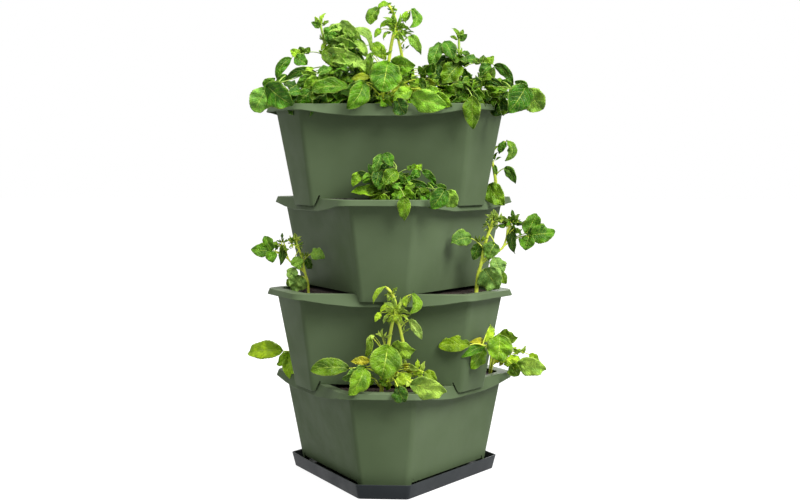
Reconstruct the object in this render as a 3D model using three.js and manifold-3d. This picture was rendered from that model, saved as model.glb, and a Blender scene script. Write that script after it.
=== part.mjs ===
import * as THREE from 'three';
import { mergeVertices } from 'three/addons/utils/BufferGeometryUtils.js';
import Module from 'manifold-3d';

// Vertical planter tower: four moulded pots stacked on a drip tray, each turned half a turn
// against the one below, so that three planting pockets stay open at the corners of each tier.
// Lengths are in millimetres, +Z is up, and the origin is the middle of the tray's underside.

// The pot, which all four tiers share.
const tierCount = 4;
const potHeight = 183; // foot of the corner skirts to the top of the rim
const footToLongWall = 127; // axis to the middle of a long wall, at the foot
const cornerReach = 55; // how much farther out the short corner walls stand
const wallFlare = 31; // how far each wall leans out over the pot's height
const wallThickness = 3;
const wallCornerRadius = 12;
const floorThickness = 3;

// How one pot seats on the next.
const skirtReach = 13; // how far the corner skirts hang down outside the rim below
const fitGap = 0.3; // clearance between pieces that seat on each other
const slitWidth = 3; // gap between a corner skirt and the rim that it straddles
const slitHeight = 17.5; // foot of a corner skirt to the top of its slit

// The rim, a turned-down lip that hangs deepest along the long sides.
const rimLongTopReach = 12;
const rimLongEdgeReach = 19;
const rimLongDrop = 21.5;
const rimShortTopReach = 9.5;
const rimShortEdgeReach = 16;
const rimShortDrop = 9.5;
const rimThickness = 2.6;
const rimCornerRadius = 30;
const rimCornerFlare = 4.5; // how much farther out the rim's top stands where its lip is shallow
const pocketLip = 7.5; // inward shelf of the rim at each planting pocket
const pocketLipDepth = 3.8;

// Drainage holes in each pot's floor.
const drainDiameter = 9;
const drainCircleDiameter = 150;
const drainCount = 6;

// The drip tray.
const trayHeight = 27;
const trayMargin = 11.5; // long wall of the tray's foot to the foot of the pot
const trayCornerMargin = 18.5; // the same at the short corner walls
const trayFlare = 6.2;
const trayThickness = 2.6;
const trayFloor = 3;
const trayCornerRadius = 9;
const trayFootClearance = 8; // corner skirts of the lowest pot to the tray's floor
const seatRibLength = 230;
const seatRibThickness = 5;
const seatRibCount = 3;

// The compost, and the plants that stand in it.
const soilBelowRim = 7;
const stemDiameter = 6;
const stalkDiameter = 2.6;
const leafThickness = 1.6;
const tallPlantSize = 181; // the stem's foot to its crown
const backPlantSize = 193;
const cornerPlantSize = 155;
const slenderPlantSize = 184;
const youngSlenderPlantSize = 135;
const spreadingPlantSize = 183;
const youngSpreadingPlantSize = 135;

const overrun = 1; // how far every cutter reaches past the face that it cuts
const root3 = Math.sqrt(3);
const sixth = Math.PI / 3;

// Heights and outlines that follow from the sizes above.
const floorUnderside = skirtReach + fitGap;
const floorTop = floorUnderside + floorThickness;
const tierPitch = potHeight - skirtReach;
const lowestFoot = trayFloor + trayFootClearance;
const rimLongWall = footToLongWall + wallFlare;
const rimShortWall = rimLongWall + cornerReach;
const soilTop = potHeight - soilBelowRim;

const potGreen = new THREE.MeshStandardMaterial({ color: 0x66785a, roughness: 0.55, metalness: 0 });
const trayGrey = new THREE.MeshStandardMaterial({ color: 0x35393b, roughness: 0.6, metalness: 0 });
const soilBrown = new THREE.MeshStandardMaterial({ color: 0x2e221b, roughness: 0.95, metalness: 0 });
const leafGreen = new THREE.MeshStandardMaterial({ color: 0x4f8a2c, roughness: 0.6, metalness: 0 });

const wasm = await Module();
wasm.setup();

function solidFromGeometry(geometry) {
  const bare = geometry.clone();
  bare.deleteAttribute('normal');
  bare.deleteAttribute('uv');
  const merged = mergeVertices(bare);
  return new wasm.Manifold(new wasm.Mesh({
    numProp: 3,
    vertProperties: new Float32Array(merged.attributes.position.array),
    triVerts: new Uint32Array(merged.index.array),
  }));
}

function geometryFromSolid(solid) {
  const mesh = solid.getMesh();
  const geometry = new THREE.BufferGeometry();
  geometry.setAttribute('position', new THREE.BufferAttribute(new Float32Array(mesh.vertProperties), 3));
  geometry.setIndex(new THREE.BufferAttribute(new Uint32Array(mesh.triVerts), 1));
  geometry.computeVertexNormals();
  return geometry;
}

// Signed volume, which is positive when the faces point out.
function signedVolume(points, faces) {
  return faces.reduce((sum, [a, b, c]) => (
    sum + points[a].dot(new THREE.Vector3().crossVectors(points[b], points[c])) / 6
  ), 0);
}

// A closed geometry from points and triangles, turned the right way out.
function closedGeometry(points, faces) {
  const outward = signedVolume(points, faces) > 0;
  const geometry = new THREE.BufferGeometry();
  const places = points.flatMap((p) => p.toArray());
  geometry.setAttribute('position', new THREE.Float32BufferAttribute(places, 3));
  geometry.setIndex(faces.flatMap(([a, b, c]) => (outward ? [a, b, c] : [a, c, b])));
  return geometry;
}

// A skin through rings with as many points each, closed at both ends by fans. A fan meets in the
// middle of its ring, or in the tip that is given for the last one.
function loft(rings, tip) {
  const perRing = rings[0].length;
  const points = rings.flat();
  const faces = [];
  for (let ring = 0; ring + 1 < rings.length; ring += 1) {
    for (let i = 0; i < perRing; i += 1) {
      const next = (i + 1) % perRing;
      const low = ring * perRing;
      const high = low + perRing;
      faces.push([low + i, low + next, high + next]);
      faces.push([low + i, high + next, high + i]);
    }
  }
  [0, rings.length - 1].forEach((end) => {
    const middle = points.length;
    const centre = new THREE.Vector3();
    rings[end].forEach((p) => centre.addScaledVector(p, 1 / perRing));
    points.push(end > 0 && tip ? tip : centre);
    for (let i = 0; i < perRing; i += 1) {
      const next = (i + 1) % perRing;
      const [a, b] = end === 0 ? [next, i] : [i, next];
      faces.push([end * perRing + a, end * perRing + b, middle]);
    }
  });
  return closedGeometry(points, faces);
}

// Places along a side, as shares of its straight half, and how much of the rim's full extra drop
// each of them has. The corner arcs between two sides have their own shares of it.
const longSidePlaceShares = [-1, -0.72, -0.39, 0.39, 0.72, 1];
const longSideDropShares = [0.1, 0.62, 1, 1, 0.62, 0.1];
const shortSidePlaceShares = [-1, 1];
const shortSideDropShares = [0.02, 0.02];
const cornerTurnShares = [1 / 2];
const arcDropShares = [0.05];

// The plan of the object: a triangle with its corners cut off, so six sides, long and short in
// turn, with round corners. A short side faces the front. heightAt gives each point's height
// from its share of the rim's drop, and flare stands the points farther out where that is small.
function planRing(toLongSide, toShortSide, cornerRadius, heightAt, flare = 0) {
  const ring = [];
  for (let side = 0; side < 6; side += 1) {
    const isShort = side % 2 === 0;
    const facing = side * sixth - Math.PI / 2;
    const reach = isShort ? toShortSide : toLongSide;
    const otherReach = isShort ? toLongSide : toShortSide;
    const straightHalf = (2 * otherReach - reach - cornerRadius) / root3;
    const out = new THREE.Vector2(Math.cos(facing), Math.sin(facing));
    const along = new THREE.Vector2(-out.y, out.x);
    const placeShares = isShort ? shortSidePlaceShares : longSidePlaceShares;
    const dropShares = isShort ? shortSideDropShares : longSideDropShares;
    placeShares.forEach((placeShare, i) => {
      const flared = reach + flare * (1 - dropShares[i]);
      const place = out.clone().multiplyScalar(flared).addScaledVector(along, placeShare * straightHalf);
      ring.push(new THREE.Vector3(place.x, place.y, heightAt(dropShares[i])));
    });
    const arcCentre = out.clone().multiplyScalar(reach - cornerRadius).addScaledVector(along, straightHalf);
    cornerTurnShares.forEach((turnShare, i) => {
      const turn = facing + turnShare * sixth;
      const flaredRadius = cornerRadius + flare * (1 - arcDropShares[i]);
      ring.push(new THREE.Vector3(
        arcCentre.x + flaredRadius * Math.cos(turn),
        arcCentre.y + flaredRadius * Math.sin(turn),
        heightAt(arcDropShares[i]),
      ));
    });
  }
  return ring;
}

// A level ring of the pot's wall, set in or out from its outer face at that height.
function wallRing(height, inset, ringHeight = height) {
  const lean = wallFlare * (height / potHeight);
  const toLongWall = footToLongWall + lean - inset;
  const radius = Math.max(wallCornerRadius - inset, wallCornerRadius / 2);
  return planRing(toLongWall, toLongWall + cornerReach, radius, () => ringHeight);
}

function rimRing(longReach, shortReach, inset, heightAt, flare = 0) {
  const toLong = rimLongWall + longReach - inset;
  const toShort = rimShortWall + shortReach - inset;
  return planRing(toLong, toShort, rimCornerRadius - inset, heightAt, flare);
}

// A level ring of the rim's top, which stands farther out at the corners than along the sides.
function rimTopRing(inset, height) {
  return rimRing(rimLongTopReach, rimShortTopReach, inset, () => height, rimCornerFlare);
}

function rimDrop(dropShare) {
  return rimShortDrop + (rimLongDrop - rimShortDrop) * dropShare;
}

// Outer face of the rim's long sides at a depth below its top, measured from the axis.
function rimFaceAt(depth) {
  return rimLongWall + rimLongTopReach + (rimLongEdgeReach - rimLongTopReach) * (depth / rimLongDrop);
}

// One pot's shell before it is cut: floor, skirt, wall and turned-down rim in one skin.
function potShell() {
  const underLip = potHeight - rimThickness;
  const shelfRing = (height) => planRing(
    rimLongWall - wallThickness,
    rimShortWall - wallThickness - pocketLip,
    rimCornerRadius - wallThickness,
    () => height,
  );
  return loft([
    wallRing(floorUnderside, wallThickness),
    wallRing(0, wallThickness),
    wallRing(0, 0),
    wallRing(underLip, 0),
    rimTopRing(rimThickness, underLip),
    rimRing(rimLongEdgeReach, rimShortEdgeReach, rimThickness, (share) => potHeight - rimDrop(share)),
    rimRing(rimLongEdgeReach, rimShortEdgeReach, 0, (share) => potHeight - rimDrop(share)),
    rimTopRing(0, potHeight - rimThickness / 2),
    rimTopRing(rimThickness / 2, potHeight),
    shelfRing(potHeight),
    shelfRing(underLip),
    wallRing(underLip - pocketLipDepth, wallThickness),
    wallRing(floorTop, wallThickness),
  ]);
}

// Three-sided frustum inside the corner skirts. It takes the foot of the long walls away, so that
// the floor rests on the rim below while the skirts straddle it.
function skirtCutter() {
  const ringAt = (height) => {
    const reach = rimFaceAt(skirtReach - height) + slitWidth;
    return [0, 1, 2].map((corner) => {
      const facing = Math.PI / 2 + 2 * corner * sixth;
      return new THREE.Vector3(2 * reach * Math.cos(facing), 2 * reach * Math.sin(facing), height);
    });
  };
  return loft([ringAt(-overrun), ringAt(floorUnderside)]);
}

// The six slits carry the gap between skirt and rim a little way up into the long walls.
function slitCutters() {
  const middle = (floorUnderside + slitHeight) / 2;
  const tall = slitHeight - floorUnderside + 2 * overrun;
  const deep = wallThickness / Math.cos(sixth / 2) + slitWidth * Math.tan(sixth / 2) + 2 * overrun;
  const lean = Math.atan2(rimLongEdgeReach - rimLongTopReach, rimLongDrop);
  const toSlit = rimFaceAt(skirtReach - middle) + slitWidth / 2;
  const toWall = footToLongWall + wallFlare * (middle / potHeight) - wallThickness / 2;
  const cutters = [];
  for (let corner = 0; corner < 3; corner += 1) {
    [-1, 1].forEach((hand) => {
      const slit = new THREE.BoxGeometry(slitWidth, deep, tall);
      slit.rotateY(-lean);
      slit.translate(toSlit, (hand * (2 * toWall - toSlit)) / root3, middle);
      slit.rotateZ(2 * corner * sixth - Math.PI / 2);
      cutters.push(solidFromGeometry(slit));
    });
  }
  return cutters;
}

function drainCutters() {
  const depth = floorThickness + 2 * overrun;
  const hole = new THREE.CylinderGeometry(drainDiameter / 2, drainDiameter / 2, depth, 8);
  hole.rotateX(Math.PI / 2);
  const places = [[0, 0]];
  for (let i = 0; i < drainCount; i += 1) {
    const turn = (2 * Math.PI * i) / drainCount;
    places.push([Math.cos(turn) * (drainCircleDiameter / 2), Math.sin(turn) * (drainCircleDiameter / 2)]);
  }
  return places.map(([x, y]) => {
    const placed = hole.clone().translate(x, y, floorUnderside + floorThickness / 2);
    return solidFromGeometry(placed);
  });
}

function potGeometry() {
  const cutters = [solidFromGeometry(skirtCutter()), ...slitCutters(), ...drainCutters()];
  const pot = cutters.reduce((solid, cutter) => solid.subtract(cutter), solidFromGeometry(potShell()));
  return geometryFromSolid(pot);
}

function trayGeometry() {
  const footLong = footToLongWall + trayMargin;
  const footShort = footToLongWall + cornerReach + trayCornerMargin;
  const ringAt = (height, inset, ringHeight = height) => {
    const lean = trayFlare * (height / trayHeight) - inset;
    return planRing(footLong + lean, footShort + lean, trayCornerRadius - inset, () => ringHeight);
  };
  const shell = loft([
    ringAt(0, 0),
    ringAt(trayHeight, 0),
    ringAt(trayHeight, trayThickness),
    ringAt(trayFloor, trayThickness),
  ]);
  const ribTop = lowestFoot + floorUnderside - fitGap;
  const ribFoot = trayFloor / 2;
  let tray = solidFromGeometry(shell);
  for (let i = 0; i < seatRibCount; i += 1) {
    const rib = new THREE.BoxGeometry(seatRibLength, seatRibThickness, ribTop - ribFoot);
    rib.translate(0, 0, (ribTop + ribFoot) / 2);
    rib.rotateZ((Math.PI * i) / seatRibCount);
    tray = tray.add(solidFromGeometry(rib));
  }
  return geometryFromSolid(tray);
}

// Compost, which fills a pot from its floor to just under its rim.
function soilGeometry() {
  const inset = wallThickness + fitGap;
  return loft([wallRing(floorTop + fitGap, inset), wallRing(soilTop, inset)]);
}

// A round tapering tube with a few sides along a row of points, none of which lead sideways.
const sideways = new THREE.Vector3(1, 0, 0);

function tube(path, startRadius, endRadius, sides) {
  const rings = path.map((point, i) => {
    const ahead = path[Math.min(i + 1, path.length - 1)];
    const behind = path[Math.max(i - 1, 0)];
    const direction = ahead.clone().sub(behind).normalize();
    const across = new THREE.Vector3().crossVectors(direction, sideways).normalize();
    const over = new THREE.Vector3().crossVectors(direction, across);
    const radius = startRadius + (endRadius - startRadius) * (i / (path.length - 1));
    return Array.from({ length: sides }, (_, k) => {
      const turn = (2 * Math.PI * k) / sides;
      return point.clone()
        .addScaledVector(across, radius * Math.cos(turn))
        .addScaledVector(over, radius * Math.sin(turn));
    });
  });
  return loft(rings);
}

// A leaf: a straight stalk from the stem to the blade's base, and a thin blade with a pointed tip,
// folded up a little along its midrib and arched. The blade faces the viewer unless it is rolled
// about its midrib. Every ring has its two sides and its two faces.
const bladePlaceShares = [0.3, 0.7];
const bladeWidthShares = [1, 0.82];
const bladeArchShares = [0.07, 0.08];
const bladeFoldShare = 0.1;
const toViewer = new THREE.Vector3(0, -1, 0);

function leaf(spring, base, tip, width, roll) {
  const midrib = tip.clone().sub(base);
  const length = midrib.length();
  const wide = new THREE.Vector3().crossVectors(midrib, toViewer).normalize();
  wide.applyAxisAngle(midrib.clone().normalize(), THREE.MathUtils.degToRad(roll));
  const face = new THREE.Vector3().crossVectors(wide, midrib).normalize();
  const stalkWay = base.clone().sub(spring).normalize();
  const stalkFace = face.clone().addScaledVector(stalkWay, -face.dot(stalkWay)).normalize();
  const stalkWide = new THREE.Vector3().crossVectors(stalkWay, stalkFace);
  const ring = (middle, across, over, half, thick, fold) => [
    middle.clone().addScaledVector(across, half).addScaledVector(over, fold),
    middle.clone().addScaledVector(over, thick),
    middle.clone().addScaledVector(across, -half).addScaledVector(over, fold),
    middle.clone().addScaledVector(over, -thick),
  ];
  const stalk = stalkDiameter / 2;
  const rings = [spring, base].map((middle) => ring(middle, stalkWide, stalkFace, stalk, stalk, 0));
  bladePlaceShares.forEach((placeShare, i) => {
    const middle = base.clone().addScaledVector(midrib, placeShare);
    middle.addScaledVector(face, bladeArchShares[i] * length);
    const half = (width * bladeWidthShares[i]) / 2;
    rings.push(ring(middle, wide, face, half, leafThickness / 2, width * bladeFoldShare));
  });
  return loft(rings, tip);
}

// Plants are drawn as shares of their size: x to the right, y towards the viewer, z up. Each leaf
// has its stem, the point of the stem where its stalk springs (a fraction lies between two), the
// blade's base and tip, its width, and its roll in degrees.
const tallStemShares = [
  [
    [0.01, 0, -0.1], [0.03, 0.03, 0.2], [0.08, 0.07, 0.4], [0.11, 0.1, 0.58],
    [0.12, 0.12, 0.71], [0.15, 0.15, 0.83], [0.13, 0.17, 0.95],
  ],
  [
    [0.02, 0.01, 0.03], [0.11, 0.05, 0.18], [0.2, 0.08, 0.42], [0.21, 0.1, 0.56],
    [0.19, 0.12, 0.7], [0.17, 0.14, 0.8],
  ],
];
const rightLeafShares = [
  [0, 1.5, [0.12, 0.2, 0.41], [0.05, 0.27, 0.18], 0.31, 0],
  [1, 0.7, [0.26, 0.36, 0.1], [0.22, 0.38, -0.02], 0.15, 0],
  [1, 0.7, [0.33, 0.3, 0.15], [0.68, 0.3, 0.04], 0.2, 0],
  [1, 1, [0.45, 0.16, 0.2], [0.56, 0.18, 0.13], 0.09, 0],
  [1, 0.8, [0.31, 0.2, 0.17], [0.16, 0.24, 0.1], 0.1, 0],
];
const leftLeafShares = [
  [0, 0.8, [-0.32, 0.12, 0.25], [-0.69, 0.1, 0.22], 0.17, 0],
  [0, 0.7, [-0.11, 0.3, 0.2], [-0.29, 0.38, 0], 0.17, 0],
  [0, 0.9, [-0.13, 0.24, 0.23], [-0.39, 0.28, 0.14], 0.11, -35],
  [0, 1.2, [-0.1, 0.15, 0.3], [-0.28, 0.17, 0.29], 0.07, 0],
  [0, 1.6, [-0.09, 0.14, 0.53], [-0.14, 0.17, 0.34], 0.06, 0],
];
const middleLeafShares = [
  [0, 2, [0.15, 0.16, 0.47], [0.35, 0.24, 0.42], 0.19, 15],
];
const crownRightLeafShares = [
  [0, 5, [0.34, 0.2, 0.98], [0.35, 0.26, 0.79], 0.12, 0],
  [0, 5, [0.2, 0.17, 0.88], [0.32, 0.2, 0.95], 0.09, 0],
  [1, 3.5, [0.31, 0.18, 0.69], [0.43, 0.22, 0.54], 0.1, 0],
];
const crownLeftLeafShares = [
  [0, 6, [0.07, 0.18, 1.03], [-0.07, 0.22, 0.89], 0.06, 0],
  [0, 4, [0.07, 0.15, 0.74], [-0.04, 0.17, 0.72], 0.06, 0],
  [0, 5, [0.12, 0.17, 0.87], [0.03, 0.19, 0.79], 0.05, 0],
];
// The plant in the third tier's right back corner is only this far out of the compost.
const sunkStemShares = [
  [
    [0.16, 0.07, 0.3], [0.11, 0.1, 0.58], [0.12, 0.12, 0.71], [0.15, 0.15, 0.83],
    [0.13, 0.17, 0.95],
  ],
  [[0.14, 0.08, 0.43], [0.18, 0.09, 0.48], [0.21, 0.1, 0.56], [0.19, 0.12, 0.7], [0.17, 0.14, 0.8]],
];
const sunkLeafShares = [
  [0, 3, [0.34, 0.2, 0.98], [0.35, 0.26, 0.79], 0.12, 0],
  [0, 3, [0.2, 0.17, 0.88], [0.32, 0.2, 0.95], 0.09, 0],
  [1, 2.5, [0.31, 0.18, 0.69], [0.43, 0.22, 0.54], 0.1, 0],
  [1, 1, [0.15, 0.28, 0.52], [0.33, 0.42, 0.45], 0.15, 15],
];
// The plant in the lowest tier's right back corner also trails round the pot above it.
const trailingStemShares = [
  [0.01, 0, -0.1], [0.1, 0.3, 0.27], [0.13, 0.74, 0.42], [-0.01, 1.09, 0.47], [-0.11, 1.22, 0.47],
];
const trailingLeafShares = [
  [2, 4, [-0.23, 1.29, 0.46], [-0.59, 1.29, 0.44], 0.16, 0],
  [2, 3, [-0.07, 1.03, 0.39], [-0.22, 1.11, 0.16], 0.16, 0],
  [2, 3, [-0.07, 1.08, 0.43], [-0.31, 1.27, 0.33], 0.1, 0],
  [2, 3, [-0.06, 1.07, 0.48], [-0.22, 1.22, 0.49], 0.07, 0],
  [2, 2.5, [-0.02, 0.98, 0.69], [-0.09, 1.02, 0.5], 0.06, 0],
];
const outerLeafShares = [
  [0, 1, [-0.12, -0.2, 0.3], [-0.22, -0.46, 0.2], 0.2, 60],
  [0, 1.6, [0.02, -0.16, 0.42], [0.06, -0.36, 0.36], 0.16, 50],
];
const slenderStemShares = [
  [
    [0, 0, -0.1], [0.02, 0.01, 0.13], [0.05, 0.02, 0.24], [0.08, 0.03, 0.4],
    [0.11, 0.04, 0.52], [0.14, 0.05, 0.6], [0.17, 0.05, 0.7],
  ],
  [
    [0.06, 0.02, 0.28], [0.17, 0.03, 0.36], [0.26, 0.03, 0.41], [0.3, 0.03, 0.5],
    [0.33, 0.03, 0.63], [0.36, 0.03, 0.71],
  ],
];
const slenderLeafShares = [
  [0, 3, [-0.06, 0.13, 0.51], [-0.22, 0.22, 0.48], 0.16, 0],
  [0, 3, [0.03, 0, 0.46], [-0.03, 0, 0.3], 0.11, 0],
  [0, 4.5, [0.19, 0.05, 0.46], [0.13, 0.1, 0.31], 0.14, 0],
  [0, 2, [0.19, 0.08, 0.31], [0.23, 0.1, 0.18], 0.14, 0],
  [0, 1, [0.12, 0.04, 0.21], [0.18, 0.02, 0.03], 0.18, 0],
  [0, 1, [0.24, 0.02, 0.17], [0.29, 0.02, 0.07], 0.09, 0],
  [1, 5, [0.37, 0.05, 0.62], [0.38, 0.08, 0.37], 0.08, 0],
  [1, 2.2, [0.5, 0.06, 0.56], [0.61, 0.04, 0.74], 0.16, 0],
  [1, 2.2, [0.55, 0.06, 0.55], [0.77, 0.05, 0.58], 0.17, 0],
  [1, 2.2, [0.55, 0.07, 0.54], [0.49, 0.1, 0.42], 0.13, 0],
  [0, 6, [0.17, 0.05, 0.71], [0.18, 0.07, 0.8], 0.06, 0],
  [0, 6, [0.19, 0.05, 0.69], [0.28, 0.06, 0.72], 0.04, 0],
  [1, 5, [0.36, 0.03, 0.72], [0.36, 0.03, 0.8], 0.04, 0],
];
const spreadingStemShares = [
  [
    [0, 0, -0.3], [0, 0.01, 0.05], [0, 0.02, 0.25], [0.01, 0.03, 0.45],
    [0.01, 0.04, 0.6], [-0.01, 0.04, 0.68],
  ],
];
const spreadingLeafShares = [
  [0, 3, [-0.19, 0.08, 0.6], [-0.29, 0.14, 0.34], 0.15, 0],
  [0, 3, [-0.11, 0.1, 0.62], [-0.04, 0.14, 0.45], 0.14, 0],
  [0, 2.8, [-0.08, 0.02, 0.47], [-0.21, 0.03, 0.35], 0.12, 0],
  [0, 2.5, [-0.2, 0.1, 0.39], [-0.25, 0.15, 0.18], 0.15, 0],
  [0, 2.6, [0.02, 0.12, 0.39], [-0.13, 0.18, 0.2], 0.19, 0],
  [0, 1.8, [-0.44, 0.05, 0.35], [-0.55, 0.08, 0.19], 0.12, 0],
  [0, 1.2, [-0.2, 0.04, 0.08], [-0.57, 0.04, 0.12], 0.12, 40],
  [0, 2.6, [0.25, 0.06, 0.39], [0.26, 0.12, 0.28], 0.14, 0],
  [0, 2.6, [0.23, 0.04, 0.37], [0.22, 0.02, 0.47], 0.07, 0],
  [0, 2.6, [0.26, 0.05, 0.38], [0.33, 0.04, 0.46], 0.08, 0],
  [0, 2.6, [0.34, 0.08, 0.42], [0.54, 0.16, 0.22], 0.1, 0],
  [0, 1.8, [0.18, 0.1, 0.22], [0.46, 0.14, 0.19], 0.06, 0],
  [0, 1.6, [0.68, 0.42, 0.11], [0.5, 0.46, -0.13], 0.23, 0],
  [0, 1.6, [0.71, 0.3, 0.1], [0.84, 0.34, -0.08], 0.17, 0],
  [0, 1.6, [0.15, 0.2, 0.14], [0.3, 0.22, 0.09], 0.12, 30],
  [0, 1.6, [0.13, 0.2, 0.14], [-0.04, 0.22, 0.08], 0.12, 30],
];
const tuftLeafShares = [
  [0, 4.2, [0.02, 0.05, 0.63], [0.1, 0.06, 0.68], 0.09, 0],
  [0, 5, [-0.02, 0.04, 0.71], [-0.04, 0.05, 0.77], 0.03, 0],
];
const overRimLeafShares = [
  [0, 1.6, [0.14, 0.5, 0.09], [0.13, 0.5, -0.27], 0.18, 0],
];
const insideRimLeafShares = [
  [0, 1.6, [0.21, 0.2, -0.01], [0.24, 0.22, -0.13], 0.13, 0],
];

// One plant as a single solid with its root at the origin. It can be drawn mirrored, leant over
// sideways, and lifted or sunk. Its stems end level with the compost.
function plantSolid(size, stemShares, leafShares, mirrored, lean, liftShare) {
  const hand = mirrored ? -1 : 1;
  const turn = THREE.MathUtils.degToRad(lean);
  const place = ([x, y, z]) => new THREE.Vector3(
    hand * (x * Math.cos(turn) + z * Math.sin(turn)) * size,
    -y * size,
    (z * Math.cos(turn) - x * Math.sin(turn) + liftShare) * size,
  );
  const stems = stemShares.map((shares) => new THREE.CatmullRomCurve3(shares.map(place)));
  const pieces = stems.map((stem) => {
    const path = stem.getPoints(stem.points.length - 1);
    const stemTube = solidFromGeometry(tube(path, stemDiameter / 2, stalkDiameter / 2, 4));
    return stemTube.trimByPlane([0, 0, 1], 0);
  });
  leafShares.forEach(([stemIndex, springPoint, base, tip, widthShare, roll]) => {
    const stem = stems[stemIndex];
    const spring = stem.getPoint(springPoint / (stem.points.length - 1));
    const blade = leaf(spring, place(base), place(tip), widthShare * size, hand * roll);
    pieces.push(solidFromGeometry(blade));
  });
  return pieces.reduce((sum, piece) => sum.add(piece));
}

const tower = new THREE.Group();

function addPiece(name, geometry, material, height, turn) {
  const mesh = new THREE.Mesh(geometry, material);
  mesh.name = name;
  mesh.position.z = height;
  mesh.rotation.z = turn;
  tower.add(mesh);
  return mesh;
}

const footOfTier = (tier) => lowestFoot + tier * tierPitch;
// Odd tiers are turned half a turn, which puts a long side to the front.
const turnOfTier = (tier) => (tier % 2 === 0 ? 0 : Math.PI);

addPiece('drip_tray', trayGeometry(), trayGrey, 0, 0);
const sharedPot = potGeometry();
const sharedSoil = soilGeometry();
for (let tier = 0; tier < tierCount; tier += 1) {
  addPiece(`pot_${tier + 1}`, sharedPot.clone(), potGreen, footOfTier(tier), turnOfTier(tier));
  addPiece(`soil_${tier + 1}`, sharedSoil.clone(), soilBrown, footOfTier(tier), turnOfTier(tier));
}

// Every kind of plant has its size, its stems and its leaves.
const lowStemShares = tallStemShares.map((stem) => stem.slice(0, 4));
const tallLeafShares = [
  rightLeafShares,
  leftLeafShares,
  middleLeafShares,
  crownRightLeafShares,
  crownLeftLeafShares,
].flat();
const tall = [tallPlantSize, tallStemShares, tallLeafShares];
const sunk = [backPlantSize, sunkStemShares, sunkLeafShares];
const cornerRight = [
  cornerPlantSize,
  [...lowStemShares, trailingStemShares],
  [...rightLeafShares, ...middleLeafShares, ...trailingLeafShares],
];
const cornerLeft = [
  cornerPlantSize,
  lowStemShares.slice(0, 1),
  [...leftLeafShares, ...outerLeafShares],
];
const slender = [slenderPlantSize, slenderStemShares, slenderLeafShares];
const youngSlender = [youngSlenderPlantSize, slenderStemShares, slenderLeafShares];
const spreadingRight = [
  spreadingPlantSize,
  spreadingStemShares,
  [...spreadingLeafShares, ...tuftLeafShares, ...overRimLeafShares],
];
const spreadingLeft = [
  spreadingPlantSize,
  spreadingStemShares,
  [...spreadingLeafShares, ...tuftLeafShares, ...insideRimLeafShares],
];
const youngSpreading = [
  youngSpreadingPlantSize,
  spreadingStemShares.map((stem) => stem.slice(0, 4)),
  [...spreadingLeafShares, ...overRimLeafShares],
];

// Plants stand on the compost of their tier. Their roots are placed by shares of the distance from
// the axis to the middle of a planting pocket, to the right and to the back. Each then has its
// lean in degrees, whether it is mirrored, and the share of its size by which it is lifted.
const pocketMiddle = (footToLongWall + rimShortWall - wallThickness - pocketLip) / 2;
const plantRowsWithPlaceShares = [
  [0, 'front', tall, -0.05, -1, 0, false, 0.03],
  [0, 'back_right', cornerRight, 1.14, 0.33, 0, false, 0.08],
  [0, 'back_left', cornerLeft, -1.04, 0.3, 0, false, 0.03],
  [1, 'right', slender, 0.985, -0.46, 0, false, 0.05],
  [1, 'left', youngSlender, -0.9, -0.46, 0, true, 0.03],
  [2, 'front', youngSpreading, 0.11, -1, 0, false, 0.04],
  [2, 'back_right', sunk, 0.96, 0.33, 0, false, -0.39],
  [3, 'centre', tall, -0.065, -0.79, 0, false, -0.02],
  [3, 'right', spreadingRight, 0.77, -0.57, 0, false, 0.04],
  [3, 'left', spreadingLeft, -0.57, -0.57, 11.5, true, 0.2],
];

plantRowsWithPlaceShares.forEach(([tier, place, kind, right, back, lean, mirrored, liftShare]) => {
  const [size, stemShares, leafShares] = kind;
  const mesh = addPiece(
    `plant_${tier + 1}_${place}`,
    geometryFromSolid(plantSolid(size, stemShares, leafShares, mirrored, lean, liftShare)),
    leafGreen,
    footOfTier(tier) + soilTop + fitGap,
    0,
  );
  mesh.position.x = right * pocketMiddle;
  mesh.position.y = back * pocketMiddle;
});

export default tower;
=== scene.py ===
import math
import random
from collections import namedtuple

import bmesh
import bpy
from mathutils import Matrix, Vector, noise


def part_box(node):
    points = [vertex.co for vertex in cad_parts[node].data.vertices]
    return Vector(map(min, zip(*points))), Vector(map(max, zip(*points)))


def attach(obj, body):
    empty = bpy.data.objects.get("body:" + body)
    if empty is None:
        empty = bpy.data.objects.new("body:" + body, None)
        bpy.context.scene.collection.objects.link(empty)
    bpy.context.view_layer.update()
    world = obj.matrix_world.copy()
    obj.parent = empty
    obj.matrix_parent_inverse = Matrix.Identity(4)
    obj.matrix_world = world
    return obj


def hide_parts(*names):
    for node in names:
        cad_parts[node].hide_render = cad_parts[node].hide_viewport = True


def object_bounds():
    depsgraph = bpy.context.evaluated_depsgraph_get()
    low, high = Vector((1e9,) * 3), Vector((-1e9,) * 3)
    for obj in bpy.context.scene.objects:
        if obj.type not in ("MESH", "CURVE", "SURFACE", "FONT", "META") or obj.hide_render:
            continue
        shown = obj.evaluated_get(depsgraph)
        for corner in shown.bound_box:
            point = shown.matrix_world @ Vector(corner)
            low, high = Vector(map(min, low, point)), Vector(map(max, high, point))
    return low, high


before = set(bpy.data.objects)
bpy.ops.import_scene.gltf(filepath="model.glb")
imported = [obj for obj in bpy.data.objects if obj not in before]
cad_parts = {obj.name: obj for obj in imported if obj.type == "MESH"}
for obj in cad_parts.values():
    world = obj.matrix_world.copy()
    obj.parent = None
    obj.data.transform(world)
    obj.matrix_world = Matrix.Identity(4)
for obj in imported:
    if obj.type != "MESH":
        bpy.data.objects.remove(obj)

# Vertical planter tower: four moulded pots on a drip tray, each turned half a turn on the one
# below, filled with compost and planted at the corners. Metres, +Z up, the front faces -Y.
MM = 0.001
ROOT3 = math.sqrt(3)
SIXTH = math.pi / 3
cad_low, cad_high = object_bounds()
TIERS = 4

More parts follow.
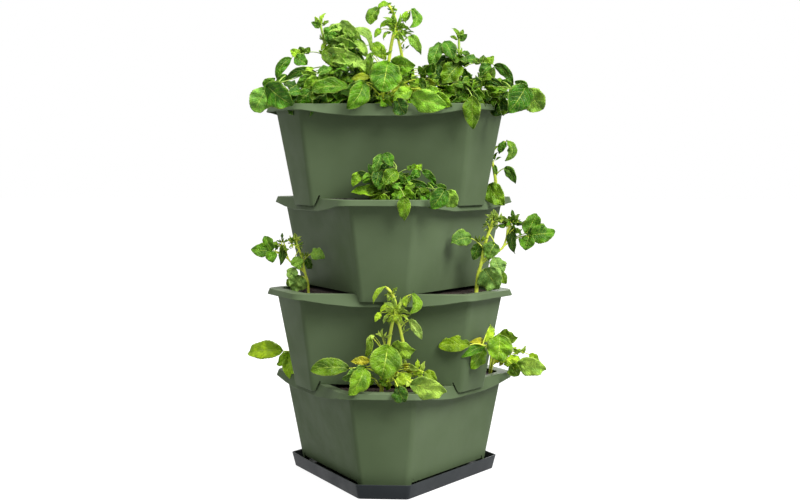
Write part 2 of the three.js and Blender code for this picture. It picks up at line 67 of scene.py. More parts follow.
# Sizes that follow from the frame.
pot_low, pot_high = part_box("pot_1")
tray_low, tray_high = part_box("drip_tray")
POT_HEIGHT = pot_high.z - pot_low.z
LOWEST_FOOT = pot_low.z
TIER_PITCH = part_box("pot_2")[0].z - LOWEST_FOOT
RIM_TO_LONG = pot_high.y
RIM_TO_SHORT = -pot_low.y

# The pot's wall, foot and rim.
WALL = 3 * MM
WALL_FLARE = 31 * MM
WALL_CORNER = 12 * MM
RIM_THICKNESS = 2.6 * MM
RIM_CORNER = 30 * MM
RIM_CORNER_FLARE = 4.5 * MM
LONG_TOP_REACH = 12 * MM
LONG_EDGE_REACH = 19 * MM
LONG_DROP = 21.5 * MM
SHORT_TOP_REACH = 9.5 * MM
SHORT_EDGE_REACH = 16 * MM
SHORT_DROP = 9.5 * MM
POCKET_LIP = 7.5 * MM
POCKET_LIP_DEPTH = 3.8 * MM
SKIRT_REACH = 13 * MM
SEAT_GAP = 0.3 * MM
SLIT_WIDTH = 3 * MM
SLIT_HEIGHT = 17.5 * MM
SLIT_ROUND = 0.15
FLOOR = 3 * MM
FLOOR_UNDERSIDE = SKIRT_REACH + SEAT_GAP
TOP_ROUND = 1.6 * MM
DRAIN_RADIUS = 4.5 * MM
DRAIN_CIRCLE = 75 * MM
DRAIN_HOLES = 6
DRAIN_SIDES = 24
LONG_WALL_AT_RIM = RIM_TO_LONG - LONG_EDGE_REACH
SHORT_WALL_AT_RIM = RIM_TO_SHORT - SHORT_EDGE_REACH
CORNER_REACH = SHORT_WALL_AT_RIM - LONG_WALL_AT_RIM
LONG_WALL_AT_FOOT = LONG_WALL_AT_RIM - WALL_FLARE

# The tray.
TRAY_FLARE = 6.2 * MM
TRAY_THICKNESS = 2.6 * MM
TRAY_FLOOR = 3 * MM
TRAY_CORNER = 9 * MM
TRAY_TO_LONG = tray_high.y - TRAY_FLARE
TRAY_TO_SHORT = -tray_low.y - TRAY_FLARE
RIB_LENGTH = 230 * MM
RIB_THICKNESS = 5 * MM
RIBS = 3

# The compost and the plants' places.
SOIL_BELOW_RIM = 7 * MM
SOIL_ROUGHNESS = 2.2 * MM
CRUMB_SIZE = 2.3 * MM
STALK_RADIUS = 1.1 * MM
LEAF_THICKNESS = 0.5 * MM
SIDE_VEINS = 6
POCKET_MIDDLE = 164.75 * MM
FACE_VIEWER = Vector((0, -1, 0))

# Where the camera stood, how it was turned, and its lens.
CAMERA_PLACE = Vector((0.1826, -2.556, 0.5973))
CAMERA_HEADING = math.radians(3.71)
CAMERA_TILT = math.radians(3.76)
CAMERA_LENS = 60.5
CAMERA_SEES_TO = 60

random.seed(11)


def srgb(red, green, blue):
    """A colour as a painter reads it, from 0 to 255, as the linear colour that a shader takes."""
    shares = [channel / 255 for channel in (red, green, blue)]
    linear = [((s + 0.055) / 1.055) ** 2.4 if s > 10 / 255 else s / 12.92 for s in shares]
    return (*linear, 1)


def make_camera():
    bpy.ops.object.camera_add(location=CAMERA_PLACE)
    camera = bpy.context.object
    camera.name = "photo_camera"
    camera.rotation_euler = (math.pi / 2 - CAMERA_TILT, 0, CAMERA_HEADING)
    camera.data.lens = CAMERA_LENS
    camera.data.clip_end = CAMERA_SEES_TO
    bpy.context.scene.camera = camera


make_camera()


# Materials. The leaves' lit and shaded flesh, which are painted light and painted shade, and the
# stems' streaked flesh are shares of a plant's own colour.

DUST_COLOUR = srgb(150, 150, 128)
GRAIN_DEPTH = 0.3 * MM
CRUMB_DEPTH = 1.5 * MM
PUCKER_DEPTH = 0.8 * MM
PAINTED_LIGHT_FLESH = (1.6, 1.5, 1.0, 1)
PAINTED_SHADE_FLESH = (0.3, 0.42, 0.15, 1)
STREAK = (0.8, 0.86, 0.5, 1)


class Recipe:
    """What a finish or a light is mixed from: nodes that are added and joined one by one."""

    def __init__(self, tree):
        self.tree = tree

    def node(self, kind, **inputs):
        made = self.tree.nodes.new(kind)
        for name, value in inputs.items():
            self.feed(made.inputs[name.replace("_", " ")], value)
        return made

    def feed(self, socket, value):
        if isinstance(value, bpy.types.NodeSocket):
            self.tree.links.new(value, socket)
        else:
            socket.default_value = value

    def wired(self, kind, *values):
        """A node whose inputs are fed in their own order."""
        made = self.tree.nodes.new(kind)
        for socket, value in zip(made.inputs, values):
            self.feed(socket, value)
        return made

    def maths(self, operation, *values):
        made = self.wired("ShaderNodeMath", *values)
        made.operation = operation
        return made.outputs[0]

    def times(self, first, second):
        return self.maths("MULTIPLY", first, second)

    def mix(self, share, first, second, blend="MIX"):
        made = self.tree.nodes.new("ShaderNodeMix")
        made.data_type = "RGBA"
        made.blend_type = blend
        self.feed(made.inputs["Factor"], share)
        self.feed(made.inputs["A"], first)
        self.feed(made.inputs["B"], second)
        return made.outputs["Result"]

    def steps(self, value, low, high, to_low=0.0, to_high=1.0):
        """A smooth change from to_low to to_high, as the value goes from low to high."""
        made = self.wired("ShaderNodeMapRange", value, low, high, to_low, to_high)
        made.interpolation_type = "SMOOTHSTEP"
        return made.outputs[0]

    def where(self):
        return self.node("ShaderNodeTexCoord").outputs["Object"]

    def speckle(self, scale, detail=3.0):
        made = self.node("ShaderNodeTexNoise", Vector=self.where(), Scale=scale, Detail=detail)
        return made.outputs["Fac"]

    def own_colour(self, layer):
        """The colour that each piece carries in a layer of its mesh."""
        made = self.node("ShaderNodeAttribute")
        made.attribute_name = layer
        return made.outputs["Color"]

    def seen(self):
        """1 where the eye looks straight, off a gloss or through glass, and 0 for the light."""
        rays = self.node("ShaderNodeLightPath").outputs
        eye = self.maths("MAXIMUM", rays["Is Camera Ray"], rays["Is Glossy Ray"])
        return self.maths("MAXIMUM", eye, rays["Is Transmission Ray"])


class Finish(Recipe):
    """A material, whose shader is given plain values or what other nodes make."""

    def __init__(self, name, base, roughness, gloss=0.5):
        self.material = bpy.data.materials.new(name)
        self.material.use_nodes = True
        super().__init__(self.material.node_tree)
        self.shader = self.tree.nodes["Principled BSDF"]
        self.give("Base Color", base)
        self.give("Roughness", roughness)
        self.give("Specular IOR Level", gloss)

    def give(self, socket, value):
        self.feed(self.shader.inputs[socket], value)

    def bump(self, height, strength, distance):
        made = self.node("ShaderNodeBump", Height=height, Strength=strength, Distance=distance)
        self.give("Normal", made.outputs["Normal"])


def moulded_plastic(name, base, light, dark, roughness, gloss):
    """Satin plastic with a fine moulded grain, faint clouding, and dust on its level faces."""
    finish = Finish(name, base, roughness, gloss)
    clouds = finish.steps(finish.speckle(7), 0.3, 0.7)
    colour = finish.mix(clouds, dark, light)
    scuffs = finish.steps(finish.speckle(60, 6.0), 0.62, 0.8)
    colour = finish.mix(finish.times(scuffs, 0.12), colour, light)
    normal = finish.node("ShaderNodeNewGeometry").outputs["Normal"]
    upward = finish.node("ShaderNodeSeparateXYZ", Vector=normal).outputs["Z"]
    dust = finish.times(finish.steps(upward, 0.6, 1.0), finish.speckle(40, 5.0))
    colour = finish.mix(finish.times(dust, 0.18), colour, DUST_COLOUR)
    finish.give("Base Color", colour)
    uneven = finish.steps(finish.speckle(25, 4.0), 0.2, 0.8, roughness - 0.05, roughness + 0.07)
    finish.give("Roughness", uneven)
    finish.bump(finish.speckle(900, 2.0), 0.12, GRAIN_DEPTH)
    return finish.material


def damp_compost():
    """Dark crumbly compost with paler fibres and specks."""
    finish = Finish("damp_compost", srgb(48, 34, 30), 0.95)
    crumbs = finish.speckle(230, 6.0)
    colour = finish.mix(finish.steps(crumbs, 0.3, 0.7), srgb(24, 16, 14), srgb(66, 46, 38))
    fibres = finish.steps(finish.speckle(420, 2.0), 0.67, 0.74)
    colour = finish.mix(finish.times(fibres, 0.7), colour, srgb(150, 128, 104))
    finish.give("Base Color", colour)
    finish.bump(crumbs, 0.9, CRUMB_DEPTH)
    return finish.material


def leaf_blade():
    """A leaf's blade: its own green, mottled with painted light and shade and with painted shade in
    the creases by its side veins, raised in small cushions between a net of fine pale veins.
    """
    finish = Finish("leaf_blade", srgb(110, 160, 50), 0.36, 0.2)
    own = finish.own_colour("leaf_tint")
    over = finish.node("ShaderNodeSeparateXYZ", Vector=finish.node("ShaderNodeUVMap").outputs["UV"])
    across = finish.maths("ABSOLUTE", finish.maths("SUBTRACT", over.outputs["X"], 0.5))
    midrib = finish.steps(across, 0.004, 0.026, 1.0, 0.0)
    wander = finish.times(finish.speckle(110, 2.0), 0.12)
    slanted = finish.maths("SUBTRACT", over.outputs["Y"], finish.times(across, 0.7))
    row = finish.maths("FRACT", finish.times(finish.maths("ADD", slanted, wander), SIDE_VEINS))
    from_vein = finish.maths("ABSOLUTE", finish.maths("SUBTRACT", row, 0.5))
    # Creases beside the side veins: painted shade in the colour, and hollows in the bump.
    crease = finish.steps(from_vein, 0.03, 0.2, 1.0, 0.0)
    side_vein = finish.steps(from_vein, 0.0, 0.065, 1.0, 0.0)
    side_vein = finish.times(side_vein, finish.steps(across, 0.14, 0.48, 0.75, 0.2))
    mesh = finish.node("ShaderNodeTexVoronoi", Vector=finish.where(), Scale=250)
    mesh.feature = "DISTANCE_TO_EDGE"
    pillow = finish.steps(mesh.outputs["Distance"], 0.02, 0.32)
    net = finish.steps(mesh.outputs["Distance"], 0.0, 0.08, 0.12, 0.0)
    # Lit and shaded copies of the leaf's own green: painted light and painted shade.
    light = finish.mix(1.0, own, PAINTED_LIGHT_FLESH, "MULTIPLY")
    deep = finish.mix(1.0, own, PAINTED_SHADE_FLESH, "MULTIPLY")
    # Mottling over the blade, partly the leaf's own tone and partly painted light and shade of its
    # crinkles.
    mottle_and_painted_light = finish.steps(finish.speckle(55, 3.0), 0.36, 0.64)
    flesh = finish.mix(0.35, finish.mix(mottle_and_painted_light, deep, light), own)
    # Painted shade in the creases beside the side veins.
    flesh = finish.mix(finish.times(crease, 0.25), flesh, deep)
    pale = finish.mix(0.55, own, srgb(214, 234, 104))
    flesh = finish.mix(net, flesh, pale)
    ragged = finish.times(finish.steps(across, 0.4, 0.5, 0.0, 0.85), finish.speckle(90, 2.0))
    flesh = finish.mix(ragged, flesh, pale)
    veins = finish.maths("MAXIMUM", finish.times(midrib, 0.85), side_vein)
    finish.give("Base Color", finish.mix(veins, flesh, pale))
    ridges = finish.maths("SUBTRACT", pillow, finish.times(crease, 0.8))
    puckers = finish.maths("ADD", ridges, finish.times(finish.speckle(120, 3.0), 0.9))
    finish.bump(puckers, 0.75, PUCKER_DEPTH)
    return finish.material


def green_stem():
    """Juicy stems in the piece's own green, streaked along."""
    finish = Finish("green_stem", srgb(178, 205, 70), 0.42, 0.35)
    own = finish.own_colour("stem_tint")
    streaks = finish.steps(finish.speckle(90, 3.0), 0.35, 0.75)
    darker = finish.mix(1.0, own, STREAK, "MULTIPLY")
    finish.give("Base Color", finish.mix(streaks, own, darker))
    finish.bump(finish.speckle(500, 2.0), 0.25, GRAIN_DEPTH)
    return finish.material


POT_PLASTIC = moulded_plastic(
    "pot_plastic", srgb(95, 112, 80), srgb(99, 116, 84), srgb(89, 106, 74), 0.58, 0.13
)
TRAY_PLASTIC = moulded_plastic(
    "tray_plastic", srgb(43, 48, 51), srgb(48, 53, 56), srgb(36, 41, 44), 0.5, 0.16
)
COMPOST = damp_compost()
LEAF_BLADE = leaf_blade()
GREEN_STEM = green_stem()


# Tools of the trade.

def around(turn, reach=1, height=0):
    """A point at a turn round the tower's axis."""
    return Vector((reach * math.cos(turn), reach * math.sin(turn), height))


def start_alone():
    bpy.ops.object.select_all(action="DESELECT")


def pick(piece):
    start_alone()
    piece.select_set(True)
    bpy.context.view_layer.objects.active = piece


def named(piece, name):
    piece.name = name
    piece.data.name = name
    return piece


def join(pieces, name):
    start_alone()
    for piece in pieces:
        piece.select_set(True)
    bpy.context.view_layer.objects.active = pieces[0]
    if len(pieces) > 1:
        bpy.ops.object.join()
    return named(bpy.context.object, name)


def copy_of(piece, name, turn=None):
    """A copy with a mesh of its own, moved and turned in that mesh."""
    twin = piece.copy()
    twin.data = piece.data.copy()
    named(twin, name)
    bpy.context.scene.collection.objects.link(twin)
    if turn is not None:
        twin.data.transform(turn)
    return twin


def apply_modifier(piece, kind, **settings):
    pick(piece)
    modifier = piece.modifiers.new(kind.lower(), kind)
    for name, value in settings.items():
        setattr(modifier, name, value)
    bpy.ops.object.modifier_apply(modifier=modifier.name)


def cut_away(piece, cutter):
    apply_modifier(piece, "BOOLEAN", object=cutter, operation="DIFFERENCE", solver="EXACT")
    bpy.data.objects.remove(cutter)


def paint(piece, material):
    piece.data.materials.clear()
    piece.data.materials.append(material)


def stain(piece, layer, colour):
    """Gives every point of a piece one colour, in a layer that its material reads."""
    made = piece.data.attributes.new(layer, "FLOAT_COLOR", "POINT")
    made.data.foreach_set("color", [*colour] * len(piece.data.vertices))


def soften(piece, angle=32):
    pick(piece)
    bpy.ops.object.shade_smooth_by_angle(angle=math.radians(angle))


def skin(name, rings):
    """A closed skin: the first ring is filled, and each next one is extruded and laid out."""
    start_alone()
    bpy.ops.mesh.primitive_circle_add(vertices=len(rings[0]), fill_type="NGON")
    piece = bpy.context.object
    piece.name = name
    for vertex, place in zip(piece.data.vertices, rings[0]):
        vertex.co = place
    bpy.ops.object.mode_set(mode="EDIT")
    for low, high in zip(rings, rings[1:]):
        bpy.ops.mesh.extrude_region()
        mesh = bmesh.from_edit_mesh(piece.data)
        for vertex in [v for v in mesh.verts if v.select]:
            nearest = min(range(len(low)), key=lambda i: (low[i] - vertex.co).length_squared)
            vertex.co = high[nearest]
        bmesh.update_edit_mesh(piece.data)
    bpy.ops.mesh.select_all(action="SELECT")
    bpy.ops.mesh.normals_make_consistent(inside=False)
    bpy.ops.object.mode_set(mode="OBJECT")
    return piece


# The pots.

LONG_PLACES = (-1, -0.86, -0.72, -0.56, -0.39, -0.2, 0, 0.2, 0.39, 0.56, 0.72, 0.86, 1)
SHORT_PLACES = (-1, 0, 1)
DROP_KNOTS = ((0, 1), (0.39, 1), (0.72, 0.62), (1, 0.1))
SHORT_DROP_SHARE = 0.02
CORNER_STEPS = 6


def drop_share(place):
    """How much of the lip's full drop a place along a long side has."""
    out = abs(place)
    for (near, near_share), (far, far_share) in zip(DROP_KNOTS, DROP_KNOTS[1:]):
        if out <= far:
            return near_share + (far_share - near_share) * (out - near) / (far - near)
    return DROP_KNOTS[-1][1]


def plan(to_long, to_short, corner, height_at, flare=0):
    """Points round the plan: a triangle with cut corners, so long and short sides in turn, with
    round corners between. height_at gives a point's height from its share of the lip's drop, and
    flare stands the points farther out where that share is small."""
    ring = []
    for side in range(6):
        is_short = side % 2 == 0
        facing = side * SIXTH - math.pi / 2
        reach, other = (to_short, to_long) if is_short else (to_long, to_short)
        half = (2 * other - reach - corner) / ROOT3
        out = around(facing)
        along = Vector((-out.y, out.x, 0))
        for place in SHORT_PLACES if is_short else LONG_PLACES:
            share = SHORT_DROP_SHARE if is_short else drop_share(place)
            spot = out * (reach + flare * (1 - share)) + along * (place * half)
            ring.append(Vector((spot.x, spot.y, height_at(share))))
        centre = out * (reach - corner) + along * half
        first, last = SHORT_DROP_SHARE, drop_share(1)
        if not is_short:
            first, last = last, first
        for step in range(1, CORNER_STEPS):
            turn = facing + SIXTH * step / CORNER_STEPS
            share = first + (last - first) * step / CORNER_STEPS
            spot = centre + (corner + flare * (1 - share)) * around(turn)
            ring.append(Vector((spot.x, spot.y, height_at(share))))
    return ring


def wall_ring(height, inset):
    """A level ring of the pot's wall, set in from its outer face at that height."""
    to_long = LONG_WALL_AT_FOOT + WALL_FLARE * height / POT_HEIGHT - inset
    corner = max(WALL_CORNER - inset, WALL_CORNER / 2)
    return plan(to_long, to_long + CORNER_REACH, corner, lambda share: height)


def rim_ring(long_reach, short_reach, inset, height_at, flare=0):
    to_long = LONG_WALL_AT_RIM + long_reach - inset
    to_short = SHORT_WALL_AT_RIM + short_reach - inset
    return plan(to_long, to_short, RIM_CORNER - inset, height_at, flare)


def rim_top_ring(inset, height):
    """A level ring of the rim's top, which stands farther out at the corners."""
    return rim_ring(LONG_TOP_REACH, SHORT_TOP_REACH, inset, lambda share: height, RIM_CORNER_FLARE)


def lip_edge(share):
    return POT_HEIGHT - SHORT_DROP - (LONG_DROP - SHORT_DROP) * share


def rim_face_at(depth):
    """The outer face of the lip's long sides at a depth below the rim, from the axis."""
    lean = (LONG_EDGE_REACH - LONG_TOP_REACH) * depth / LONG_DROP
    return LONG_WALL_AT_RIM + LONG_TOP_REACH + lean


def shelf_ring(grow, height):
    to_long = LONG_WALL_AT_RIM - WALL + grow
    to_short = SHORT_WALL_AT_RIM - WALL - POCKET_LIP + grow
    return plan(to_long, to_short, RIM_CORNER - WALL + grow, lambda share: height)


def pot_rings():
    """Floor, skirt, wall and turned-down rim, with the small rounds that a moulding has."""
    small = 0.25 * WALL
    under_lip = POT_HEIGHT - RIM_THICKNESS
    rings = [
        wall_ring(FLOOR_UNDERSIDE, WALL),
        wall_ring(small, WALL),
        wall_ring(0, WALL - small),
        wall_ring(0, small),
        wall_ring(small, 0),
        wall_ring(under_lip, 0),
        rim_top_ring(RIM_THICKNESS, under_lip),
    ]
    for turn in (0, 45, 90, 135, 180):
        inset = RIM_THICKNESS * (1 + math.cos(math.radians(turn))) / 2
        sink = RIM_THICKNESS / 2 * math.sin(math.radians(turn))
        rings.append(
            rim_ring(LONG_EDGE_REACH, SHORT_EDGE_REACH, inset, lambda share: lip_edge(share) - sink)
        )
    for turn in (0, 22, 45, 68, 90):
        inset = TOP_ROUND * (1 - math.cos(math.radians(turn)))
        height = POT_HEIGHT - TOP_ROUND * (1 - math.sin(math.radians(turn)))
        rings.append(rim_top_ring(inset, height))
    return rings + [
        shelf_ring(small, POT_HEIGHT),
        shelf_ring(0, POT_HEIGHT - small),
        shelf_ring(0, under_lip + small),
        shelf_ring(small, under_lip),
        wall_ring(under_lip - POCKET_LIP_DEPTH, WALL),
        wall_ring(FLOOR_UNDERSIDE + FLOOR, WALL),
    ]


def skirt_cutter():
    """A three-sided block inside the corner skirts, which takes the foot of the long walls away."""
    rings = []
    for height in (-FLOOR, FLOOR_UNDERSIDE):
        reach = 2 * (rim_face_at(SKIRT_REACH - height) + SLIT_WIDTH)
        turns = [math.pi / 2 + 2 * corner * SIXTH for corner in range(3)]
        rings.append([around(turn, reach, height) for turn in turns])
    return skin("skirt_cutter", rings)


def slit_cutters():
    """The six slits that carry the gap between skirt and rim a little way up the long walls."""
    middle = (FLOOR_UNDERSIDE + SLIT_HEIGHT) / 2
    tall = SLIT_HEIGHT - FLOOR_UNDERSIDE + FLOOR
    deep = WALL / math.cos(SIXTH / 2) + SLIT_WIDTH * math.tan(SIXTH / 2) + FLOOR
    lean = math.atan2(LONG_EDGE_REACH - LONG_TOP_REACH, LONG_DROP)
    to_slit = rim_face_at(SKIRT_REACH - middle) + SLIT_WIDTH / 2
    to_wall = LONG_WALL_AT_FOOT + WALL_FLARE * middle / POT_HEIGHT - WALL / 2
    start_alone()
    bpy.ops.mesh.primitive_cube_add(size=1)
    slit = bpy.context.object
    apply_modifier(slit, "BEVEL", width=SLIT_ROUND, segments=3)
    shape = Matrix.Diagonal((SLIT_WIDTH, deep, tall, 1))
    slit.data.transform(Matrix.Rotation(-lean, 4, "Y") @ shape)
    cutters = []
    for corner in range(3):
        for hand in (-1, 1):
            place = Matrix.Translation((to_slit, hand * (2 * to_wall - to_slit) / ROOT3, middle))
            turn = Matrix.Rotation(2 * corner * SIXTH - math.pi / 2, 4, "Z")
            cutters.append(copy_of(slit, "slit", turn @ place))
    bpy.data.objects.remove(slit)
    return join(cutters, "slits")


def drain_cutters():
    places = [Vector((0, 0, 0))]
    for hole in range(DRAIN_HOLES):
        places.append(DRAIN_CIRCLE * around(2 * math.pi * hole / DRAIN_HOLES))
    cutters = []
    for place in places:
        start_alone()
        bpy.ops.mesh.primitive_cylinder_add(
            vertices=DRAIN_SIDES,
            radius=DRAIN_RADIUS,
            depth=3 * FLOOR,
            location=(place.x, place.y, FLOOR_UNDERSIDE + FLOOR / 2),
        )
        bpy.ops.object.transform_apply(location=True, rotation=True, scale=True)
        cutters.append(bpy.context.object)
    return join(cutters, "drain_holes")


def stand_of(tier):
    """Where a tier stands. Odd tiers are turned half a turn, with a long side to the front."""
    foot = LOWEST_FOOT + tier * TIER_PITCH
    return Matrix.Translation((0, 0, foot)) @ Matrix.Rotation(math.pi * (tier % 2), 4, "Z")


def add_pots():
    pot = skin("pot", pot_rings())
    cut_away(pot, skirt_cutter())
    cut_away(pot, slit_cutters())
    cut_away(pot, drain_cutters())
    paint(pot, POT_PLASTIC)
    for tier in range(TIERS):
        name = f"pot_{tier + 1}"
        moulded = copy_of(pot, f"moulded_{name}", stand_of(tier))
        soften(moulded)
        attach(moulded, f"tier_{tier + 1}")
        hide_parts(name)
    bpy.data.objects.remove(pot)


# The drip tray.

def tray_ring(height, inset):
    lean = TRAY_FLARE * height / tray_high.z - inset
    corner = TRAY_CORNER - inset
    return plan(TRAY_TO_LONG + lean, TRAY_TO_SHORT + lean, corner, lambda share: height)


def add_tray():
    round_edge = TRAY_THICKNESS / 4
    tray = skin("tray", [
        tray_ring(0, 2 * round_edge),
        tray_ring(round_edge / 2, round_edge / 2),
        tray_ring(2 * round_edge, 0),
        tray_ring(tray_high.z - round_edge, 0),
        tray_ring(tray_high.z, round_edge),
        tray_ring(tray_high.z, TRAY_THICKNESS - round_edge),
        tray_ring(tray_high.z - round_edge, TRAY_THICKNESS),
        tray_ring(2 * TRAY_FLOOR, TRAY_THICKNESS),
        tray_ring(TRAY_FLOOR, TRAY_THICKNESS + TRAY_FLOOR),
    ])
    rib_top = LOWEST_FOOT + FLOOR_UNDERSIDE - SEAT_GAP
    pieces = [tray]
    for rib in range(RIBS):
        start_alone()
        turn = math.pi * rib / RIBS
        middle = (0, 0, (rib_top + TRAY_FLOOR / 2) / 2)
        bpy.ops.mesh.primitive_cube_add(size=1, location=middle, rotation=(0, 0, turn))
        block = bpy.context.object
        block.scale = (RIB_LENGTH, RIB_THICKNESS, rib_top - TRAY_FLOOR / 2)
        bpy.ops.object.transform_apply(location=True, rotation=True, scale=True)
        apply_modifier(block, "BEVEL", width=RIB_THICKNESS / 6, segments=2)
        pieces.append(block)
    tray = join(pieces, "moulded_drip_tray")
    paint(tray, TRAY_PLASTIC)
    soften(tray)
    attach(tray, "tray")
    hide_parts("drip_tray")


# The compost.

SURFACE_RINGS = 26
CLOD_SCALE = 90
GRIT_SCALE = 260
GRIT_SHARE = 0.6
CRUMBS_IN_POCKET = 80
CRUMBS_IN_TOP_POT = 900
CRUMBS_REACH = 0.94
CRUMBS_BREADTH = 0.95


def soil_rings():
    inset = WALL + SEAT_GAP
    top = POT_HEIGHT - SOIL_BELOW_RIM
    bottom = FLOOR_UNDERSIDE + FLOOR + SEAT_GAP
    edge = wall_ring(top, inset)
    rings = [wall_ring(bottom, inset), wall_ring(top - SOIL_ROUGHNESS, inset)]
    for step in range(SURFACE_RINGS):
        share = 1 - step / SURFACE_RINGS
        ring = []
        for spot in edge:
            flat = Vector((spot.x * share, spot.y * share, 0))
            rough = noise.noise(flat * CLOD_SCALE) + GRIT_SHARE * noise.noise(flat * GRIT_SCALE)
            ring.append(flat + Vector((0, 0, top + SOIL_ROUGHNESS * rough / 2)))
        rings.append(ring)
    return rings


def crumb_places(tier):
    """Places for loose crumbs on a tier's compost: its pockets, or the whole of the top pot."""
    top = POT_HEIGHT - SOIL_BELOW_RIM
    places = []
    if tier == TIERS - 1:
        for _ in range(CRUMBS_IN_TOP_POT):
            turn = random.uniform(0, 2 * math.pi)
            out = LONG_WALL_AT_RIM * CRUMBS_REACH * math.sqrt(random.random())
            places.append(around(turn, out, top))
    for pocket in range(3):
        facing = 2 * pocket * SIXTH - math.pi / 2
        for _ in range(CRUMBS_IN_POCKET):
            out = random.uniform(LONG_WALL_AT_FOOT, SHORT_WALL_AT_RIM - 3 * WALL)
            aside = random.uniform(-1, 1) * (RIM_TO_SHORT - out) * CRUMBS_BREADTH
            places.append(Matrix.Rotation(facing, 4, "Z") @ Vector((out, aside, top)))
    return places


def add_compost():
    soil = skin("soil", soil_rings())
    start_alone()
    bpy.ops.mesh.primitive_ico_sphere_add(subdivisions=1, radius=1)
    crumb = bpy.context.object
    for tier in range(TIERS):
        lumps = [copy_of(soil, "bed")]
        for place in crumb_places(tier):
            size = CRUMB_SIZE * random.uniform(0.3, 1)
            turn = random.uniform(0, math.pi)
            spin = Matrix.Rotation(turn, 4, (random.random(), random.random(), 1))
            squash = Matrix.Diagonal((size, size * random.uniform(0.6, 1), size * 0.7, 1))
            lumps.append(copy_of(crumb, "crumb", Matrix.Translation(place) @ squash @ spin))
        bed = join(lumps, f"compost_{tier + 1}")
        bed.data.transform(stand_of(tier))
        paint(bed, COMPOST)
        soften(bed, 50)
        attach(bed, f"tier_{tier + 1}")
        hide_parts(f"soil_{tier + 1}")
    bpy.data.objects.remove(soil)
    bpy.data.objects.remove(crumb)


# The plants. Each is drawn as shares of its size: x to the right, y towards the viewer, z up.

TINTS = {
    "mid": srgb(104, 146, 26),
    "light": srgb(146, 186, 60),
    "lime": srgb(156, 190, 44),
    "olive": srgb(108, 140, 8),
    "yellow": srgb(176, 172, 40),
    "pale": srgb(176, 204, 96),
    "dark": srgb(50, 96, 12),
    "deep": srgb(72, 124, 14),
    "grey": srgb(104, 150, 62),
    "moss": srgb(84, 120, 6),
    "frosted": srgb(170, 202, 108),
    "fresh": srgb(156, 194, 84),
    "misty": srgb(138, 182, 104),
    "silvery": srgb(194, 220, 146),
}

# How a blade is shaped and how far it strays by chance, as shares of its width or length, then
# where a stalk and the rib under its blade are laid, and how they thin.
LEAF_TOOTH = 0.022
LEAF_POINT = 0.012
LEAF_RELIEF = 0.035
LEAF_CUP = 0.09
LEAF_CURL = 0.16
LEAF_TWIST = 0.35
LEAF_CRINKLE = 0.16
STALK_PLACES = (0, 0.2, 0.4, 0.6, 0.8)
RIB_PLACES = (0.02, 0.2, 0.4, 0.6, 0.8)
STALK_AND_RIB = (1.2, 1.05, 0.95, 0.9, 0.85, 0.75, 0.5, 0.4, 0.3, 0.2)
SMALL_STALK = (0.9, 0.7, 0.3)

# Stems, the shoots of a thicket and the sprays of a tuft. Rolls and fans are in degrees.
STEM_STEPS = 6
STEM_TAPER = 0.35
SHOOT_LEAVES = 4
SHOOT_STEPS = 8
SHOOT_SLENDERNESS = 14
SHOOT_LEAF_ROLL = 70
SHOOT_LEAF_BEND = 0.15
TUFT_FAN = 80
TUFT_LEAF_WIDTH = 0.32
TUFT_LEAF_ROLL = 40
TUFT_LEAF_BEND = 0.2
DROOP = Vector((0, 0.2, 0.35))

# A leaf has its stem and the place on it, where its blade starts and ends, its width, tint, roll
# in degrees, form, sideways bend and arch. A thicket is a tangle of small leaves: where it is
# rooted, its middle and reach, and the leaves' number, size, tints, form and breadth. A kind of
# plant has its size, stem radii, colours, stems, leaves and thickets.
Leaf = namedtuple(
    "Leaf", "stem at base tip width tint roll form bend arch", defaults=(20, "ovate", 0, 0.1)
)
Thicket = namedtuple(
    "Thicket", "foot middle reach leaves size tints form broad", defaults=("small_ovate", 0.62)
)
Kind = namedtuple("Kind", "size radii juice fresh stems leaves thickets")


def leaf_form(name, columns, rows, widest, fullness, ripple):
    """A blade one unit long and one wide, its flesh raised between the veins, its rim wavy."""
    start_alone()
    bpy.ops.mesh.primitive_grid_add(x_subdivisions=columns, y_subdivisions=rows, size=1)
    form = bpy.context.object
    form.name = name
    power = math.log(0.5) / math.log(widest)
    for vertex in form.data.vertices:
        across, along = 2 * vertex.co.x, vertex.co.y + 0.5
        half = 0.5 * max(math.sin(math.pi * min(along, 1) ** power), 0) ** fullness
        half = max(half * (1 + LEAF_TOOTH * (-1) ** round(along * rows)), LEAF_POINT)
        flesh = abs(math.sin(SIDE_VEINS * math.pi * (along - 0.3 * abs(across))))
        relief = LEAF_RELIEF * flesh * (1 - across ** 2) * min(4 * abs(across), 1)
        relief += LEAF_CUP * abs(across)
        wave = ripple * across ** 2 * math.sin(5 * math.pi * along + (2 if across > 0 else 0))
        vertex.co = (across * half, along, relief + wave)
    return form


def curve_point(points, at):
    """A point of the smooth curve through the points, at a whole or broken number of points."""
    index = min(int(at), len(points) - 2)
    t = at - index
    a, b, c, d = (points[max(0, min(i, len(points) - 1))] for i in range(index - 1, index + 3))
    square, cube = 2 * a - 5 * b + 4 * c - d, 3 * b - a - 3 * c + d
    return 0.5 * (2 * b + (c - a) * t + square * t ** 2 + cube * t ** 3)


